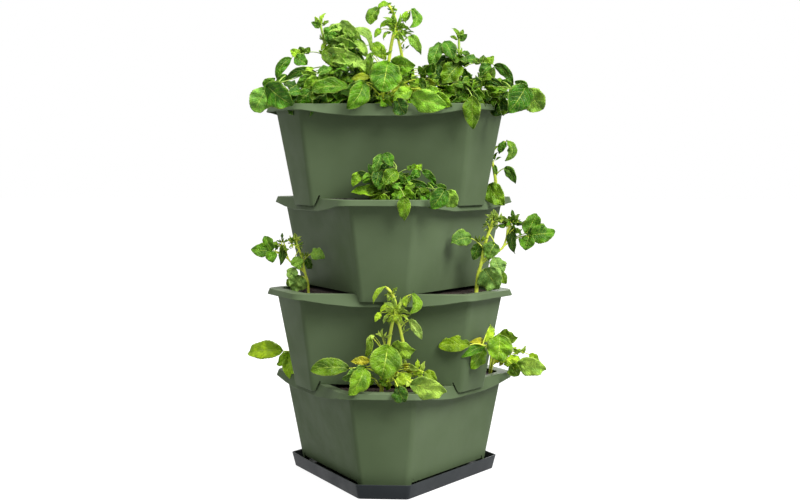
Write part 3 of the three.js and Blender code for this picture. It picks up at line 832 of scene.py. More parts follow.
class Sprig:
    """A plant in the making: the tubes of its stems and stalks, and its blades."""

    def __init__(self, fresh):
        self.fresh = fresh
        self.tubes = []
        self.blades = []

    def tube(self, path, radii):
        self.tubes.append((path, radii))

    def blade(self, spring, base, tip, width, leaf):
        chord = tip - base
        length = chord.length
        wide = chord.cross(FACE_VIEWER).normalized()
        wide.rotate(Matrix.Rotation(math.radians(leaf.roll), 3, chord))
        face = wide.cross(chord).normalized()
        true_width = width / max(math.cos(math.radians(leaf.roll)), 0.6)
        bow = face * leaf.arch + wide * leaf.bend
        curl = random.uniform(0, LEAF_CURL)
        twist = random.uniform(-LEAF_TWIST, LEAF_TWIST)
        crinkle = Vector((random.uniform(0, 40), random.uniform(0, 40), 0))

        def middle(t):
            hump = 4 * t * (1 - t) * length
            return base + chord * t + bow * hump - face * (curl * t ** 3 * length)

        def slope(t):
            hump = (4 - 8 * t) * length
            return (chord + bow * hump - face * (3 * curl * t * t * length)).normalized()

        blade = copy_of(LEAF_FORMS[leaf.form], "blade")
        for vertex in blade.data.vertices:
            across, along, lift = vertex.co
            way = slope(along)
            side = (wide - way * wide.dot(way)).normalized()
            side.rotate(Matrix.Rotation(twist * (2 * along - 1), 3, way))
            up = side.cross(way)
            crease = noise.noise(crinkle + Vector((across * 4, along * 4, 0)))
            lift += LEAF_CRINKLE * crease * min(6 * abs(across) + 0.2, 1)
            vertex.co = middle(along) + (side * across + up * lift) * true_width
        bright = random.uniform(0.85, 1.12)
        colour = [channel * fresh * bright for channel, fresh in zip(TINTS[leaf.tint], self.fresh)]
        stain(blade, "leaf_tint", (*colour, 1))
        self.blades.append(blade)
        rise = Vector((0, 0, (base - spring).length * 0.1))
        slim = min(1, width / (12 * STALK_RADIUS))
        if leaf.form.startswith("small"):
            radii = [STALK_RADIUS * slim * r for r in SMALL_STALK]
            self.tube([spring, base, middle(0.3)], radii)
            return
        stalk = [spring.lerp(base, t) + rise * 4 * t * (1 - t) for t in STALK_PLACES]
        under = [slope(t).cross(wide) * LEAF_THICKNESS for t in RIB_PLACES]
        ribs = [middle(t) + down for t, down in zip(RIB_PLACES, under)]
        self.tube(stalk + ribs, [STALK_RADIUS * slim * r for r in STALK_AND_RIB])

    def thicket(self, thicket, place, size):
        """A tangle of small leaves: shoots fan out from a foot through an egg-shaped space."""
        foot, middle = place(thicket.foot), place(thicket.middle)
        for _ in range(thicket.leaves // SHOOT_LEAVES):
            aim = Vector([random.gauss(0, 1) for _ in range(3)]).normalized()
            aim *= random.uniform(0.45, 1) * size
            end = middle + Vector(a * r for a, r in zip(aim, thicket.reach))
            bow = Vector((0, 0, (end - foot).length * random.uniform(0.1, 0.25)))
            line = [foot, foot.lerp(end, 0.55) + bow, end]
            path = [curve_point(line, 2 * step / SHOOT_STEPS) for step in range(SHOOT_STEPS + 1)]
            thinning = [1 - step / SHOOT_SLENDERNESS for step in range(SHOOT_STEPS + 1)]
            self.tube(path, [STALK_RADIUS * share for share in thinning])
            for step in range(SHOOT_LEAVES):
                spring = curve_point(line, 2 - 1.1 * step / SHOOT_LEAVES)
                stray = Vector([random.uniform(-reach, reach) for reach in (1, 1, 0.8)])
                way = ((end - middle).normalized() * 0.6 + stray * 0.8 - DROOP).normalized()
                length = thicket.size * size * random.uniform(0.6, 1.1)
                base = spring + way * length * 0.2
                roll = random.uniform(-SHOOT_LEAF_ROLL, SHOOT_LEAF_ROLL)
                bend = random.uniform(-SHOOT_LEAF_BEND, SHOOT_LEAF_BEND)
                tint = random.choice(thicket.tints.split())
                arch = random.uniform(0.05, 0.2)
                leaf = Leaf(0, 0, 0, 0, 0, tint, roll, thicket.form, bend, arch)
                self.blade(spring, base, base + way * length, length * thicket.broad, leaf)

    def stems_piece(self, name, colour):
        """All tubes as one curve with a round bevel, made a mesh."""
        start_alone()
        bpy.ops.curve.primitive_bezier_curve_add()
        drawn = bpy.context.object
        drawn.data.splines.clear()
        drawn.data.bevel_depth = MM
        drawn.data.bevel_resolution = 2
        drawn.data.use_fill_caps = True
        for path, radii in self.tubes:
            spline = drawn.data.splines.new("POLY")
            spline.points.add(len(path) - 1)
            for point, place, radius in zip(spline.points, path, radii):
                point.co = (*place, 1)
                point.radius = radius / MM
        bpy.ops.object.convert(target="MESH")
        piece = named(bpy.context.object, name)
        stain(piece, "stem_tint", colour)
        paint(piece, GREEN_STEM)
        bpy.ops.object.shade_smooth()
        return piece

    def leaves_piece(self, name):
        piece = join(self.blades, name)
        paint(piece, LEAF_BLADE)
        apply_modifier(piece, "SOLIDIFY", thickness=LEAF_THICKNESS, offset=0)
        bpy.ops.object.shade_smooth()
        return piece


def tuft(stem, at, place, spread, tint, count):
    """A spray of small narrow leaves round a shoot."""
    rows = []
    for ray in range(count):
        fan = math.radians(-TUFT_FAN + 2 * TUFT_FAN * (ray + 0.5) / count)
        reach = spread * random.uniform(0.6, 1)
        depth = random.uniform(-0.5, 0.7) * reach
        aside, up = reach * math.sin(fan), reach * math.cos(fan)
        base = (place[0] + 0.2 * aside, place[1], place[2] + 0.2 * up)
        tip = (base[0] + aside, base[1] + depth, base[2] + up)
        bend = random.uniform(-TUFT_LEAF_BEND, TUFT_LEAF_BEND)
        roll = random.uniform(-TUFT_LEAF_ROLL, TUFT_LEAF_ROLL)
        width = TUFT_LEAF_WIDTH * reach
        rows.append(Leaf(stem, at, base, tip, width, tint, roll, "small_narrow", bend))
    return rows


TALL_STEMS = (
    ((0.01, 0, -0.1), (0.03, 0.03, 0.2), (0.08, 0.07, 0.4), (0.11, 0.1, 0.58),
     (0.14, 0.13, 0.72), (0.17, 0.14, 0.82), (0.14, 0.16, 0.95), (0.08, 0.18, 1.03)),
    ((0.02, 0.01, 0.03), (0.13, 0.05, 0.18), (0.23, 0.08, 0.42), (0.22, 0.1, 0.55),
     (0.19, 0.12, 0.69), (0.17, 0.14, 0.79)),
)
RIGHT_LEAVES = (
    Leaf(0, 1.5, (0.09, 0.2, 0.45), (0.04, 0.27, 0.17), 0.32, "mid", -10, "round", 0, 0.12),
    Leaf(1, 0.7, (0.2, 0.36, 0.08), (0.27, 0.41, -0.05), 0.17, "dark", 20, "round"),
    Leaf(1, 0.7, (0.33, 0.3, 0.11), (0.66, 0.3, 0.02), 0.23, "fresh", 15, "ovate", -0.04),
    Leaf(1, 1, (0.45, 0.16, 0.2), (0.57, 0.18, 0.11), 0.1, "olive", -25),
    Leaf(1, 0.8, (0.31, 0.2, 0.17), (0.16, 0.24, 0.08), 0.12, "lime"),
    Leaf(1, 1.1, (0.3, 0.14, 0.28), (0.4, 0.2, 0.24), 0.06, "pale", 20, "narrow", 0.15),
    Leaf(1, 1.2, (0.36, 0.12, 0.22), (0.38, 0.14, 0.32), 0.05, "lime", 30, "narrow"),
    Leaf(1, 1.2, (0.42, 0.12, 0.2), (0.45, 0.14, 0.3), 0.05, "pale", -30, "narrow"),
)
LEFT_LEAVES = (
    Leaf(0, 0.8, (-0.3, 0.12, 0.22), (-0.68, 0.1, 0.2), 0.17, "moss", 25, "round", 0.04, 0.06),
    Leaf(0, 0.7, (-0.14, 0.3, 0.25), (-0.28, 0.38, 0.01), 0.2, "mid", -20, "ovate", -0.06, 0.14),
    Leaf(0, 0.9, (-0.12, 0.24, 0.26), (-0.35, 0.28, 0.15), 0.14, "grey", -35),
    Leaf(0, 1.2, (-0.09, 0.19, 0.31), (-0.27, 0.2, 0.3), 0.085, "yellow"),
    Leaf(0, 1.6, (-0.09, 0.14, 0.55), (-0.14, 0.17, 0.33), 0.07, "olive", 20, "narrow", -0.16),
    Leaf(0, 1.6, (-0.05, 0.12, 0.55), (-0.12, 0.16, 0.46), 0.05, "pale", -30, "narrow", 0.2),
)
MIDDLE_LEAVES = (
    Leaf(0, 2, (0.14, 0.15, 0.46), (0.35, 0.24, 0.42), 0.19, "light", 15, "ovate", 0.05),
    Leaf(0, 2, (0.18, 0.1, 0.4), (0.3, 0.16, 0.34), 0.13, "mid", -20),
)
CROWN_LEAVES = (
    *tuft(0, 1.8, (0.04, 0.13, 0.53), 0.09, "pale", 5),
    *tuft(1, 3, (0.25, 0.12, 0.59), 0.07, "pale", 3),
    Leaf(0, 5, (0.32, 0.19, 0.97), (0.31, 0.27, 0.79), 0.1, "mid", -25, "ovate", -0.32, 0.08),
    Leaf(0, 5, (0.28, 0.17, 0.95), (0.27, 0.2, 0.84), 0.06, "lime", 20, "ovate", 0.1),
    Leaf(0, 5, (0.22, 0.16, 0.86), (0.31, 0.19, 0.96), 0.04, "pale", 20, "narrow", 0.15),
    Leaf(1, 3.5, (0.3, 0.17, 0.71), (0.41, 0.22, 0.53), 0.1, "frosted", 20, "ovate", -0.15),
    Leaf(0, 4.6, (0.13, 0.16, 0.83), (0.02, 0.2, 0.78), 0.06, "lime", 20, "narrow", 0.25),
    Leaf(0, 4.4, (0.02, 0.18, 0.78), (-0.03, 0.22, 0.7), 0.06, "lime", -20, "ovate", 0.1),
    Leaf(0, 4.6, (0.1, 0.16, 0.76), (0.05, 0.2, 0.68), 0.035, "pale", 30, "narrow", 0.1),
    Leaf(1, 4.5, (0.21, 0.16, 0.76), (0.26, 0.2, 0.66), 0.04, "pale", 25, "narrow", 0.1),
    Leaf(1, 4.8, (0.21, 0.16, 0.81), (0.31, 0.2, 0.76), 0.035, "pale", 30, "narrow", -0.2),
    *tuft(0, 4.8, (0.17, 0.17, 0.8), 0.12, "pale", 9),
    *tuft(0, 6, (0.13, 0.17, 0.96), 0.05, "lime", 5),
    *tuft(1, 4.4, (0.18, 0.15, 0.76), 0.1, "pale", 6),
)
CORNER_LEAVES = (
    Leaf(2, 3, (0.12, 1.13, 0.55), (0.1, 1.18, 0.28), 0.31, "mid", -10, "round", 0, 0.12),
    Leaf(1, 0.7, (0.28, 0.36, 0.1), (0.35, 0.41, -0.03), 0.17, "moss", 20, "round"),
    Leaf(1, 0.7, (0.35, 0.3, 0.12), (0.69, 0.3, 0.02), 0.25, "fresh", 15, "ovate", -0.04),
    Leaf(1, 0.8, (0.37, 0.2, 0.16), (0.2, 0.24, 0.07), 0.14, "lime"),
    Leaf(1, 1, (0.5, 0.16, 0.2), (0.62, 0.18, 0.09), 0.1, "olive", -25),
    Leaf(1, 1.1, (0.3, 0.14, 0.28), (0.4, 0.2, 0.24), 0.06, "pale", 20, "narrow", 0.15),
    Leaf(1, 1.2, (0.42, 0.12, 0.2), (0.45, 0.14, 0.3), 0.05, "pale", -30, "narrow"),
)
LIME_LEAVES = (
    Leaf(1, 0.8, (0.33, 0.34, 0.18), (0.16, 0.36, 0.08), 0.14, "lime"),
    Leaf(1, 1, (0.56, 0.22, 0.14), (0.72, 0.26, 0.03), 0.13, "lime"),
    Leaf(1, 1, (0.48, 0.16, 0.2), (0.6, 0.22, 0.12), 0.11, "lime", -20),
    Leaf(1, 1, (0.4, 0.12, 0.3), (0.47, 0.16, 0.2), 0.09, "moss"),
)
FOLDED_LEAF = Leaf(0, 7, (0.07, 0.18, 1.04), (-0.05, 0.24, 0.88), 0.05, "lime", 20, "narrow", 0.12)
TOP_CURLS = (
    Leaf(0, 7, (0.02, 0.21, 0.98), (-0.07, 0.25, 0.82), 0.13, "olive", 25, "round", 0.12),
    Leaf(0, 6.6, (0.11, 0.21, 1.02), (0, 0.25, 0.97), 0.06, "lime", 20, "narrow", 0.14),
)
SUNK_STEMS = (
    ((0.16, 0.07, 0.3), (0.11, 0.1, 0.58), (0.12, 0.12, 0.71), (0.15, 0.15, 0.83),
     (0.13, 0.17, 0.95)),
    ((0.14, 0.08, 0.43), (0.18, 0.09, 0.48), (0.21, 0.1, 0.56), (0.19, 0.12, 0.7),
     (0.17, 0.14, 0.8)),
)
SUNK_LEAVES = (
    Leaf(0, 3, (0.31, 0.19, 0.98), (0.31, 0.26, 0.79), 0.1, "mid", -25, "ovate", -0.3, 0.08),
    Leaf(0, 3, (0.3, 0.18, 0.97), (0.24, 0.2, 0.85), 0.08, "deep"),
    Leaf(1, 2.5, (0.3, 0.18, 0.71), (0.4, 0.22, 0.56), 0.1, "grey", 20, "ovate", -0.15),
    Leaf(1, 1, (0.14, 0.42, 0.55), (0.28, 0.5, 0.36), 0.2, "light", 10, "ovate", 0.02, 0.06),
    Leaf(1, 1.4, (0.2, 0.16, 0.74), (0.22, 0.2, 0.64), 0.05, "grey", 20, "narrow"),
    *tuft(0, 3.4, (0.18, 0.17, 0.9), 0.08, "lime", 4),
    *tuft(1, 3.6, (0.2, 0.15, 0.78), 0.08, "mid", 4),
)
TRAILING_STEMS = (
    ((0.01, 0, -0.1), (0.06, 0.3, 0.2), (0.1, 0.7, 0.32), (0.06, 1.05, 0.4), (-0.08, 1.2, 0.45)),
)
TRAILING_LEAVES = (
    Leaf(2, 1.2, (0.13, 0.42, 0.25), (0.22, 0.5, 0.14), 0.1, "lime"),
    Leaf(2, 1.7, (0.06, 0.62, 0.38), (0.12, 0.66, 0.5), 0.1, "mid", -20),
    Leaf(2, 2.2, (0.12, 0.84, 0.36), (0.18, 0.9, 0.26), 0.09, "light"),
    Leaf(2, 2.6, (0.07, 0.98, 0.46), (0.14, 1, 0.54), 0.09, "mid", -20),
    Leaf(2, 4, (-0.23, 1.29, 0.46), (-0.59, 1.29, 0.44), 0.18, "olive", 25, "round", 0.04, 0.06),
    Leaf(2, 3, (-0.07, 1.03, 0.39), (-0.22, 1.11, 0.16), 0.19, "mid", -20),
    Leaf(2, 3, (-0.07, 1.08, 0.43), (-0.31, 1.27, 0.33), 0.13, "deep"),
    Leaf(2, 3, (-0.06, 1.07, 0.48), (-0.22, 1.22, 0.49), 0.08, "yellow"),
    Leaf(2, 4, (-0.06, 1.15, 0.49), (0.01, 1.1, 0.68), 0.1, "lime", 20, "narrow", 0.12),
    Leaf(2, 4, (0.01, 1.1, 0.67), (0.06, 1.05, 0.55), 0.07, "pale", -20, "narrow", 0.1),
)
OUTER_LEAVES = (
    Leaf(0, 0.8, (-0.28, 0.12, 0.26), (-0.72, 0.12, 0.22), 0.22, "lime", 25, "round", 0.04),
    Leaf(0, 0.9, (-0.16, 0.24, 0.25), (-0.33, 0.28, 0.12), 0.17, "light", -30),
    Leaf(0, 0.7, (-0.19, 0.3, 0.2), (-0.13, 0.38, -0.06), 0.19, "light", -20, "ovate", 0, 0.14),
    Leaf(0, 1, (-0.12, -0.2, 0.3), (-0.22, -0.46, 0.2), 0.2, "mid", 60),
    Leaf(0, 1.6, (0.02, -0.16, 0.42), (0.06, -0.36, 0.36), 0.16, "light", 50),
)
SLENDER_STEMS = (
    ((0, 0, -0.1), (0.02, 0.01, 0.13), (0.05, 0.02, 0.24), (0.08, 0.03, 0.4),
     (0.11, 0.04, 0.52), (0.14, 0.05, 0.6), (0.17, 0.05, 0.7)),
    ((0.06, 0.02, 0.28), (0.17, 0.03, 0.36), (0.26, 0.03, 0.41), (0.3, 0.03, 0.5),
     (0.33, 0.03, 0.63), (0.36, 0.03, 0.71)),
)
SLENDER_LEAVES = (
    Leaf(0, 3, (-0.06, 0.13, 0.52), (-0.24, 0.22, 0.47), 0.17, "grey", 20, "ovate", 0.06),
    Leaf(0, 3, (0.03, 0, 0.46), (-0.03, 0, 0.3), 0.13, "dark", -20),
    Leaf(0, 4.5, (0.19, 0.05, 0.46), (0.13, 0.1, 0.3), 0.17, "grey", 20, "ovate", 0.04),
    Leaf(0, 2, (0.18, 0.08, 0.32), (0.24, 0.1, 0.16), 0.17, "misty", -20, "round", 0, 0.08),
    Leaf(0, 1, (0.09, 0.06, 0.21), (0.23, 0.04, 0.01), 0.27, "misty", 20, "ovate", 0, 0.06),
    Leaf(0, 1, (0.23, 0.02, 0.16), (0.3, 0.02, 0.06), 0.1, "moss", -20),
    Leaf(1, 5, (0.37, 0.05, 0.62), (0.38, 0.08, 0.36), 0.1, "dark", 25, "narrow", 0.05, 0.06),
    Leaf(1, 2.2, (0.5, 0.06, 0.56), (0.61, 0.04, 0.75), 0.19, "deep", 20, "ovate", -0.05),
    Leaf(1, 2.2, (0.55, 0.06, 0.55), (0.78, 0.05, 0.58), 0.19, "deep", -20, "ovate", 0.05),
    Leaf(1, 2.2, (0.53, 0.07, 0.54), (0.49, 0.1, 0.4), 0.16, "deep"),
    Leaf(0, 6, (0.17, 0.05, 0.71), (0.18, 0.07, 0.8), 0.06, "pale", 20, "narrow"),
    Leaf(0, 6, (0.19, 0.05, 0.69), (0.28, 0.06, 0.72), 0.05, "deep", 20, "narrow"),
    Leaf(1, 5, (0.36, 0.03, 0.72), (0.36, 0.03, 0.8), 0.04, "dark", 20, "narrow"),
    *tuft(0, 5.8, (0.19, 0.05, 0.68), 0.1, "pale", 9),
    *tuft(0, 5, (0.16, 0.05, 0.62), 0.09, "grey", 5),
    *tuft(1, 4.6, (0.35, 0.04, 0.66), 0.09, "moss", 6),
    *tuft(0, 3.4, (0.04, 0.08, 0.47), 0.08, "olive", 5),
)
SPREADING_STEMS = (
    ((0, 0, -0.3), (0, 0.01, 0.05), (0, 0.02, 0.25), (0.02, 0.03, 0.45),
     (0.02, 0.04, 0.58), (0.02, 0.04, 0.66)),
    ((0, 0.02, 0.1), (0.18, 0.1, 0.2), (0.4, 0.17, 0.17), (0.58, 0.3, 0.15)),
    ((0.01, 0.02, 0.32), (0.11, 0.05, 0.39), (0.22, 0.06, 0.41), (0.34, 0.08, 0.4)),
)
SPREADING_LEAVES = (
    Leaf(0, 3, (-0.17, 0.08, 0.6), (-0.27, 0.14, 0.36), 0.14, "grey", 20, "ovate", -0.05),
    Leaf(0, 3, (-0.12, 0.1, 0.61), (-0.03, 0.14, 0.44), 0.15, "deep", -20),
    Leaf(0, 2.8, (-0.08, 0.02, 0.47), (-0.21, 0.03, 0.35), 0.13, "dark"),
    Leaf(0, 2.5, (-0.2, 0.1, 0.39), (-0.25, 0.15, 0.18), 0.17, "dark", -20),
    Leaf(0, 2.6, (0.03, 0.12, 0.39), (-0.14, 0.18, 0.19), 0.2, "olive", 15),
    Leaf(0, 1.8, (-0.44, 0.05, 0.36), (-0.55, 0.08, 0.18), 0.14, "lime"),
    Leaf(0, 1.2, (-0.2, 0.04, 0.09), (-0.57, 0.04, 0.12), 0.14, "lime", 40),
    Leaf(2, 1.8, (0.22, 0.05, 0.4), (0.17, 0.05, 0.45), 0.07, "moss"),
    Leaf(2, 2, (0.24, 0.05, 0.4), (0.27, 0.05, 0.48), 0.08, "moss"),
    Leaf(2, 2.4, (0.29, 0.06, 0.38), (0.36, 0.06, 0.47), 0.09, "lime", -20),
    Leaf(2, 2.7, (0.33, 0.08, 0.38), (0.23, 0.1, 0.29), 0.13, "deep"),
    Leaf(2, 3, (0.37, 0.1, 0.38), (0.54, 0.14, 0.19), 0.1, "deep", 20, "ovate", -0.18, 0.08),
    Leaf(0, 1.8, (0.16, 0.1, 0.2), (0.48, 0.16, 0.14), 0.085, "dark", 20, "narrow", -0.22),
    Leaf(0, 1.8, (0.3, 0.14, 0.21), (0.16, 0.16, 0.23), 0.08, "pale"),
    Leaf(1, 2.6, (0.44, 0.14, 0.22), (0.56, 0.16, 0.18), 0.08, "deep"),
    Leaf(0, 1.6, (0.14, 0.2, 0.13), (0.3, 0.24, 0.03), 0.14, "light", 30),
    Leaf(0, 1.6, (0.15, 0.2, 0.16), (0.28, 0.22, 0.21), 0.08, "pale"),
    Leaf(0, 1.6, (0.12, 0.2, 0.1), (-0.03, 0.22, 0.02), 0.13, "mid", 30),
    Leaf(0, 1.6, (0.12, 0.2, 0.17), (-0.02, 0.2, 0.19), 0.09, "grey", 30),
    Leaf(0, 1.2, (-0.16, 0.2, 0.07), (-0.04, 0.22, 0), 0.09, "lime"),
)
TUFT_LEAVES = (
    Leaf(0, 4.6, (0.02, 0.04, 0.64), (0.1, 0.06, 0.69), 0.07, "grey"),
    Leaf(0, 5, (0.02, 0.04, 0.67), (-0.05, 0.05, 0.75), 0.04, "pale", 20, "narrow", 0.1),
    Leaf(0, 5, (0, 0.04, 0.65), (-0.07, 0.05, 0.67), 0.035, "pale", 20, "narrow"),
    Leaf(0, 5, (0.03, 0.04, 0.67), (0.06, 0.05, 0.74), 0.045, "pale", 20, "narrow"),
    *tuft(0, 4.6, (0.02, 0.04, 0.63), 0.08, "pale", 7),
    *tuft(0, 3.2, (0.02, 0.05, 0.5), 0.06, "pale", 4),
)
FAR_RIGHT_LEAVES = (
    Leaf(1, 3, (0.67, 0.42, 0.15), (0.51, 0.46, -0.09), 0.26, "deep", -15),
    Leaf(1, 3, (0.69, 0.32, 0.12), (0.83, 0.36, -0.06), 0.23, "frosted", 20, "round"),
    Leaf(1, 3, (0.69, 0.3, 0.16), (0.57, 0.3, 0.21), 0.09, "grey", -20),
)
FAR_LEFT_LEAVES = (
    Leaf(1, 3, (0.61, 0.42, 0.13), (0.41, 0.46, -0.1), 0.26, "deep", -15),
    Leaf(1, 3, (0.65, 0.32, 0.12), (0.8, 0.36, -0.07), 0.22, "misty", 20, "round"),
    Leaf(1, 3, (0.67, 0.3, 0.16), (0.54, 0.3, 0.2), 0.09, "grey", -20),
)
CURLED_LEAVES = (
    Leaf(0, 3.6, (-0.03, 0.1, 0.56), (-0.3, 0.15, 0.37), 0.1, "silvery", 30, "ovate", 0.22, 0.22),
    Leaf(0, 3.4, (-0.03, 0.14, 0.52), (-0.18, 0.17, 0.36), 0.11, "deep", 20, "ovate", 0.2),
    Leaf(0, 2.6, (0, 0.12, 0.37), (-0.28, 0.18, 0.25), 0.08, "silvery", -30, "ovate", 0.18, 0.2),
    Leaf(0, 2.2, (0.01, 0.14, 0.27), (-0.22, 0.2, 0.13), 0.1, "silvery", 25, "ovate", 0.15, 0.2),
    Leaf(0, 3.4, (-0.18, 0.1, 0.62), (-0.34, 0.14, 0.4), 0.09, "silvery", -25, "ovate", 0.22, 0.22),
    Leaf(0, 3.2, (-0.28, 0.1, 0.52), (-0.42, 0.14, 0.3), 0.09, "silvery", 30, "ovate", 0.22, 0.22),
    Leaf(0, 3, (-0.1, 0.13, 0.44), (-0.3, 0.18, 0.34), 0.1, "silvery", -40, "ovate", 0.2, 0.14),
    Leaf(0, 3, (-0.2, 0.12, 0.4), (-0.38, 0.18, 0.26), 0.1, "silvery", 35, "ovate", 0.18, 0.14),
    Leaf(0, 2.4, (-0.06, 0.15, 0.3), (-0.14, 0.2, 0.16), 0.1, "silvery", -30, "ovate", 0.2, 0.14),
    Leaf(0, 2, (-0.14, 0.16, 0.22), (-0.34, 0.2, 0.1), 0.12, "silvery", 30, "ovate", 0.15, 0.14),
    Leaf(0, 2, (0.04, 0.14, 0.16), (0.14, 0.18, 0.08), 0.1, "silvery", 30, "ovate", -0.15, 0.14),
    Leaf(0, 3, (0.02, 0.08, 0.46), (0.06, 0.1, 0.4), 0.04, "pale", 30),
    Leaf(0, 2.4, (0.04, 0.08, 0.36), (0.08, 0.1, 0.4), 0.04, "pale", 30),
    Leaf(0, 1.6, (0.2, 0.2, 0.16), (0.36, 0.22, 0.09), 0.12, "grey", 30),
    Leaf(0, 1.2, (0.22, 0.25, 0.02), (0.38, 0.28, -0.08), 0.15, "deep"),
    Leaf(0, 1.2, (0.14, 0.26, 0), (0.2, 0.28, -0.12), 0.14, "olive", 20, "round"),
)
OVER_RIM_LEAVES = (
    Leaf(0, 1.6, (0.16, 0.5, 0.06), (0.16, 0.5, -0.25), 0.175, "olive", 10, "ovate", 0, 0.06),
)
INSIDE_RIM_LEAVES = (
    Leaf(0, 1.6, (0.21, 0.2, -0.01), (0.24, 0.22, -0.13), 0.15, "olive", 20, "round"),
)

CURLED_MIX = "silvery silvery grey deep"
FROSTED_MIX = "silvery grey deep dark moss"
CROWN_THICKETS = (
    Thicket(
        (0.16, 0.14, 0.7), (0.17, 0.15, 0.78), (0.12, 0.12, 0.07),
        40, 0.08, "lime pale", "small_narrow", 0.24,
    ),
    Thicket(
        (0.15, 0.16, 0.9), (0.11, 0.17, 0.99), (0.06, 0.06, 0.06),
        12, 0.05, "lime pale", "small_ovate", 0.45,
    ),
)
RIGHT_FOOT_THICKET = Thicket(
    (0.02, 0, 0.02), (0.28, 0.14, 0.2), (0.18, 0.14, 0.11), 28, 0.08, "lime pale lime yellow"
)
LEFT_FOOT_THICKET = Thicket(
    (0.01, 0, 0), (-0.02, 0.05, 0.1), (0.15, 0.1, 0.08), 16, 0.08, "mid lime deep"
)
TALL_THICKETS = (*CROWN_THICKETS, RIGHT_FOOT_THICKET, LEFT_FOOT_THICKET)
CENTRE_THICKETS = (
    *TALL_THICKETS,
    Thicket(
        (0.02, 0, 0), (0.14, 0.02, 0.12), (0.32, 0.3, 0.12),
        60, 0.12, "mid dark olive lime deep",
    ),
    Thicket(
        (0.1, -0.05, 0), (0.5, -0.02, 0.2), (0.24, 0.22, 0.17),
        52, 0.12, "lime pale mid yellow olive",
    ),
    Thicket((0.1, -0.05, 0.2), (0.4, -0.05, 0.38), (0.12, 0.12, 0.09), 16, 0.13, "deep moss"),
    Thicket((-0.05, -0.05, 0), (-0.2, -0.1, 0.25), (0.16, 0.16, 0.16), 28, 0.13, "olive deep dark"),
)
SPREADING_THICKETS = (
    Thicket(
        (0, 0, -0.02), (0.15, 0, 0.12), (0.45, 0.32, 0.12),
        112, 0.17, "dark deep olive mid lime",
    ),
    Thicket((0.01, 0, 0.2), (0, -0.05, 0.34), (0.2, 0.2, 0.15), 40, 0.14, "dark moss deep"),
    Thicket((0.01, 0.03, 0.45), (0, 0, 0.5), (0.13, 0.13, 0.08), 16, 0.11, "deep grey"),
)
LEFT_BUSH_THICKETS = (
    Thicket(
        (-0.06, 0.05, 0.3), (-0.24, 0.1, 0.4), (0.16, 0.14, 0.16),
        64, 0.13, CURLED_MIX, "small_ovate", 0.4,
    ),
    Thicket(
        (-0.05, 0, 0.05), (-0.16, 0.05, 0.15), (0.22, 0.2, 0.11),
        56, 0.15, FROSTED_MIX, "small_ovate", 0.45,
    ),
    Thicket((0, 0, -0.15), (0.1, 0.05, -0.06), (0.5, 0.3, 0.1), 120, 0.17, "dark moss olive deep"),
    Thicket((-0.1, 0, -0.15), (-0.35, 0, -0.05), (0.16, 0.2, 0.14), 36, 0.13, "mid olive deep"),
)
SLENDER_THICKETS = (
    Thicket(
        (0.14, 0.05, 0.58), (0.17, 0.05, 0.66), (0.1, 0.09, 0.08),
        32, 0.06, "pale deep pale", "small_narrow", 0.26,
    ),
    Thicket((0.3, 0.03, 0.5), (0.34, 0.04, 0.62), (0.09, 0.08, 0.1), 24, 0.08, "moss deep"),
)
YOUNG_THICKETS = (
    Thicket((0, 0, -0.04), (0.1, 0.04, 0.12), (0.5, 0.16, 0.12), 80, 0.17, "dark deep olive moss"),
    Thicket((0, 0, 0), (-0.12, 0.04, 0.28), (0.34, 0.14, 0.14), 48, 0.16, "dark deep mid moss"),
)

# The kinds of plant. Juice is the stems' colour, and fresh turns the leaves' tints to the kind's.
BRIGHT_JUICE = srgb(242, 255, 100)
PALE_JUICE = srgb(176, 204, 100)
TALL_LEAVES = RIGHT_LEAVES + LEFT_LEAVES + MIDDLE_LEAVES + CROWN_LEAVES
TALL = Kind(
    181 * MM,
    (3.8 * MM, 3.7 * MM),
    BRIGHT_JUICE,
    (1.15, 1.15, 1.1),
    TALL_STEMS,
    (*TALL_LEAVES, FOLDED_LEAF),
    TALL_THICKETS,
)
TALL_CENTRE = TALL._replace(
    fresh=(0.62, 0.86, 0.4),
    leaves=TALL_LEAVES + LIME_LEAVES + TOP_CURLS,
    thickets=CENTRE_THICKETS,
)
SUNK = Kind(193 * MM, (4 * MM, 4 * MM), BRIGHT_JUICE, (0.9, 1, 0.7), SUNK_STEMS, SUNK_LEAVES, ())
CORNER_RIGHT = Kind(
    155 * MM,
    (3 * MM, 3 * MM, 2.6 * MM),
    BRIGHT_JUICE,
    (1.3, 1.3, 1.2),
    tuple(stem[:3] for stem in TALL_STEMS) + TRAILING_STEMS,
    CORNER_LEAVES + MIDDLE_LEAVES + TRAILING_LEAVES,
    (RIGHT_FOOT_THICKET,),
)
CORNER_LEFT = CORNER_RIGHT._replace(
    radii=(3 * MM,),
    fresh=(1.6, 1.6, 1),
    stems=(TALL_STEMS[0][:3],),
    leaves=OUTER_LEAVES,
    thickets=(LEFT_FOOT_THICKET,),
)
SLENDER = Kind(
    184 * MM,
    (3.8 * MM, 2.4 * MM),
    BRIGHT_JUICE,
    (1.0, 1.0, 0.9),
    SLENDER_STEMS,
    SLENDER_LEAVES,
    SLENDER_THICKETS,
)
YOUNG_SLENDER = SLENDER._replace(size=135 * MM, radii=(2.9 * MM, 1.9 * MM), fresh=(1.45, 1.35, 1.2))
SPREADING_RIGHT = Kind(
    183 * MM,
    (3.4 * MM, 1.1 * MM, 1 * MM),
    PALE_JUICE,
    (0.62, 0.8, 0.35),
    SPREADING_STEMS,
    SPREADING_LEAVES + FAR_RIGHT_LEAVES + TUFT_LEAVES + OVER_RIM_LEAVES,
    SPREADING_THICKETS,
)
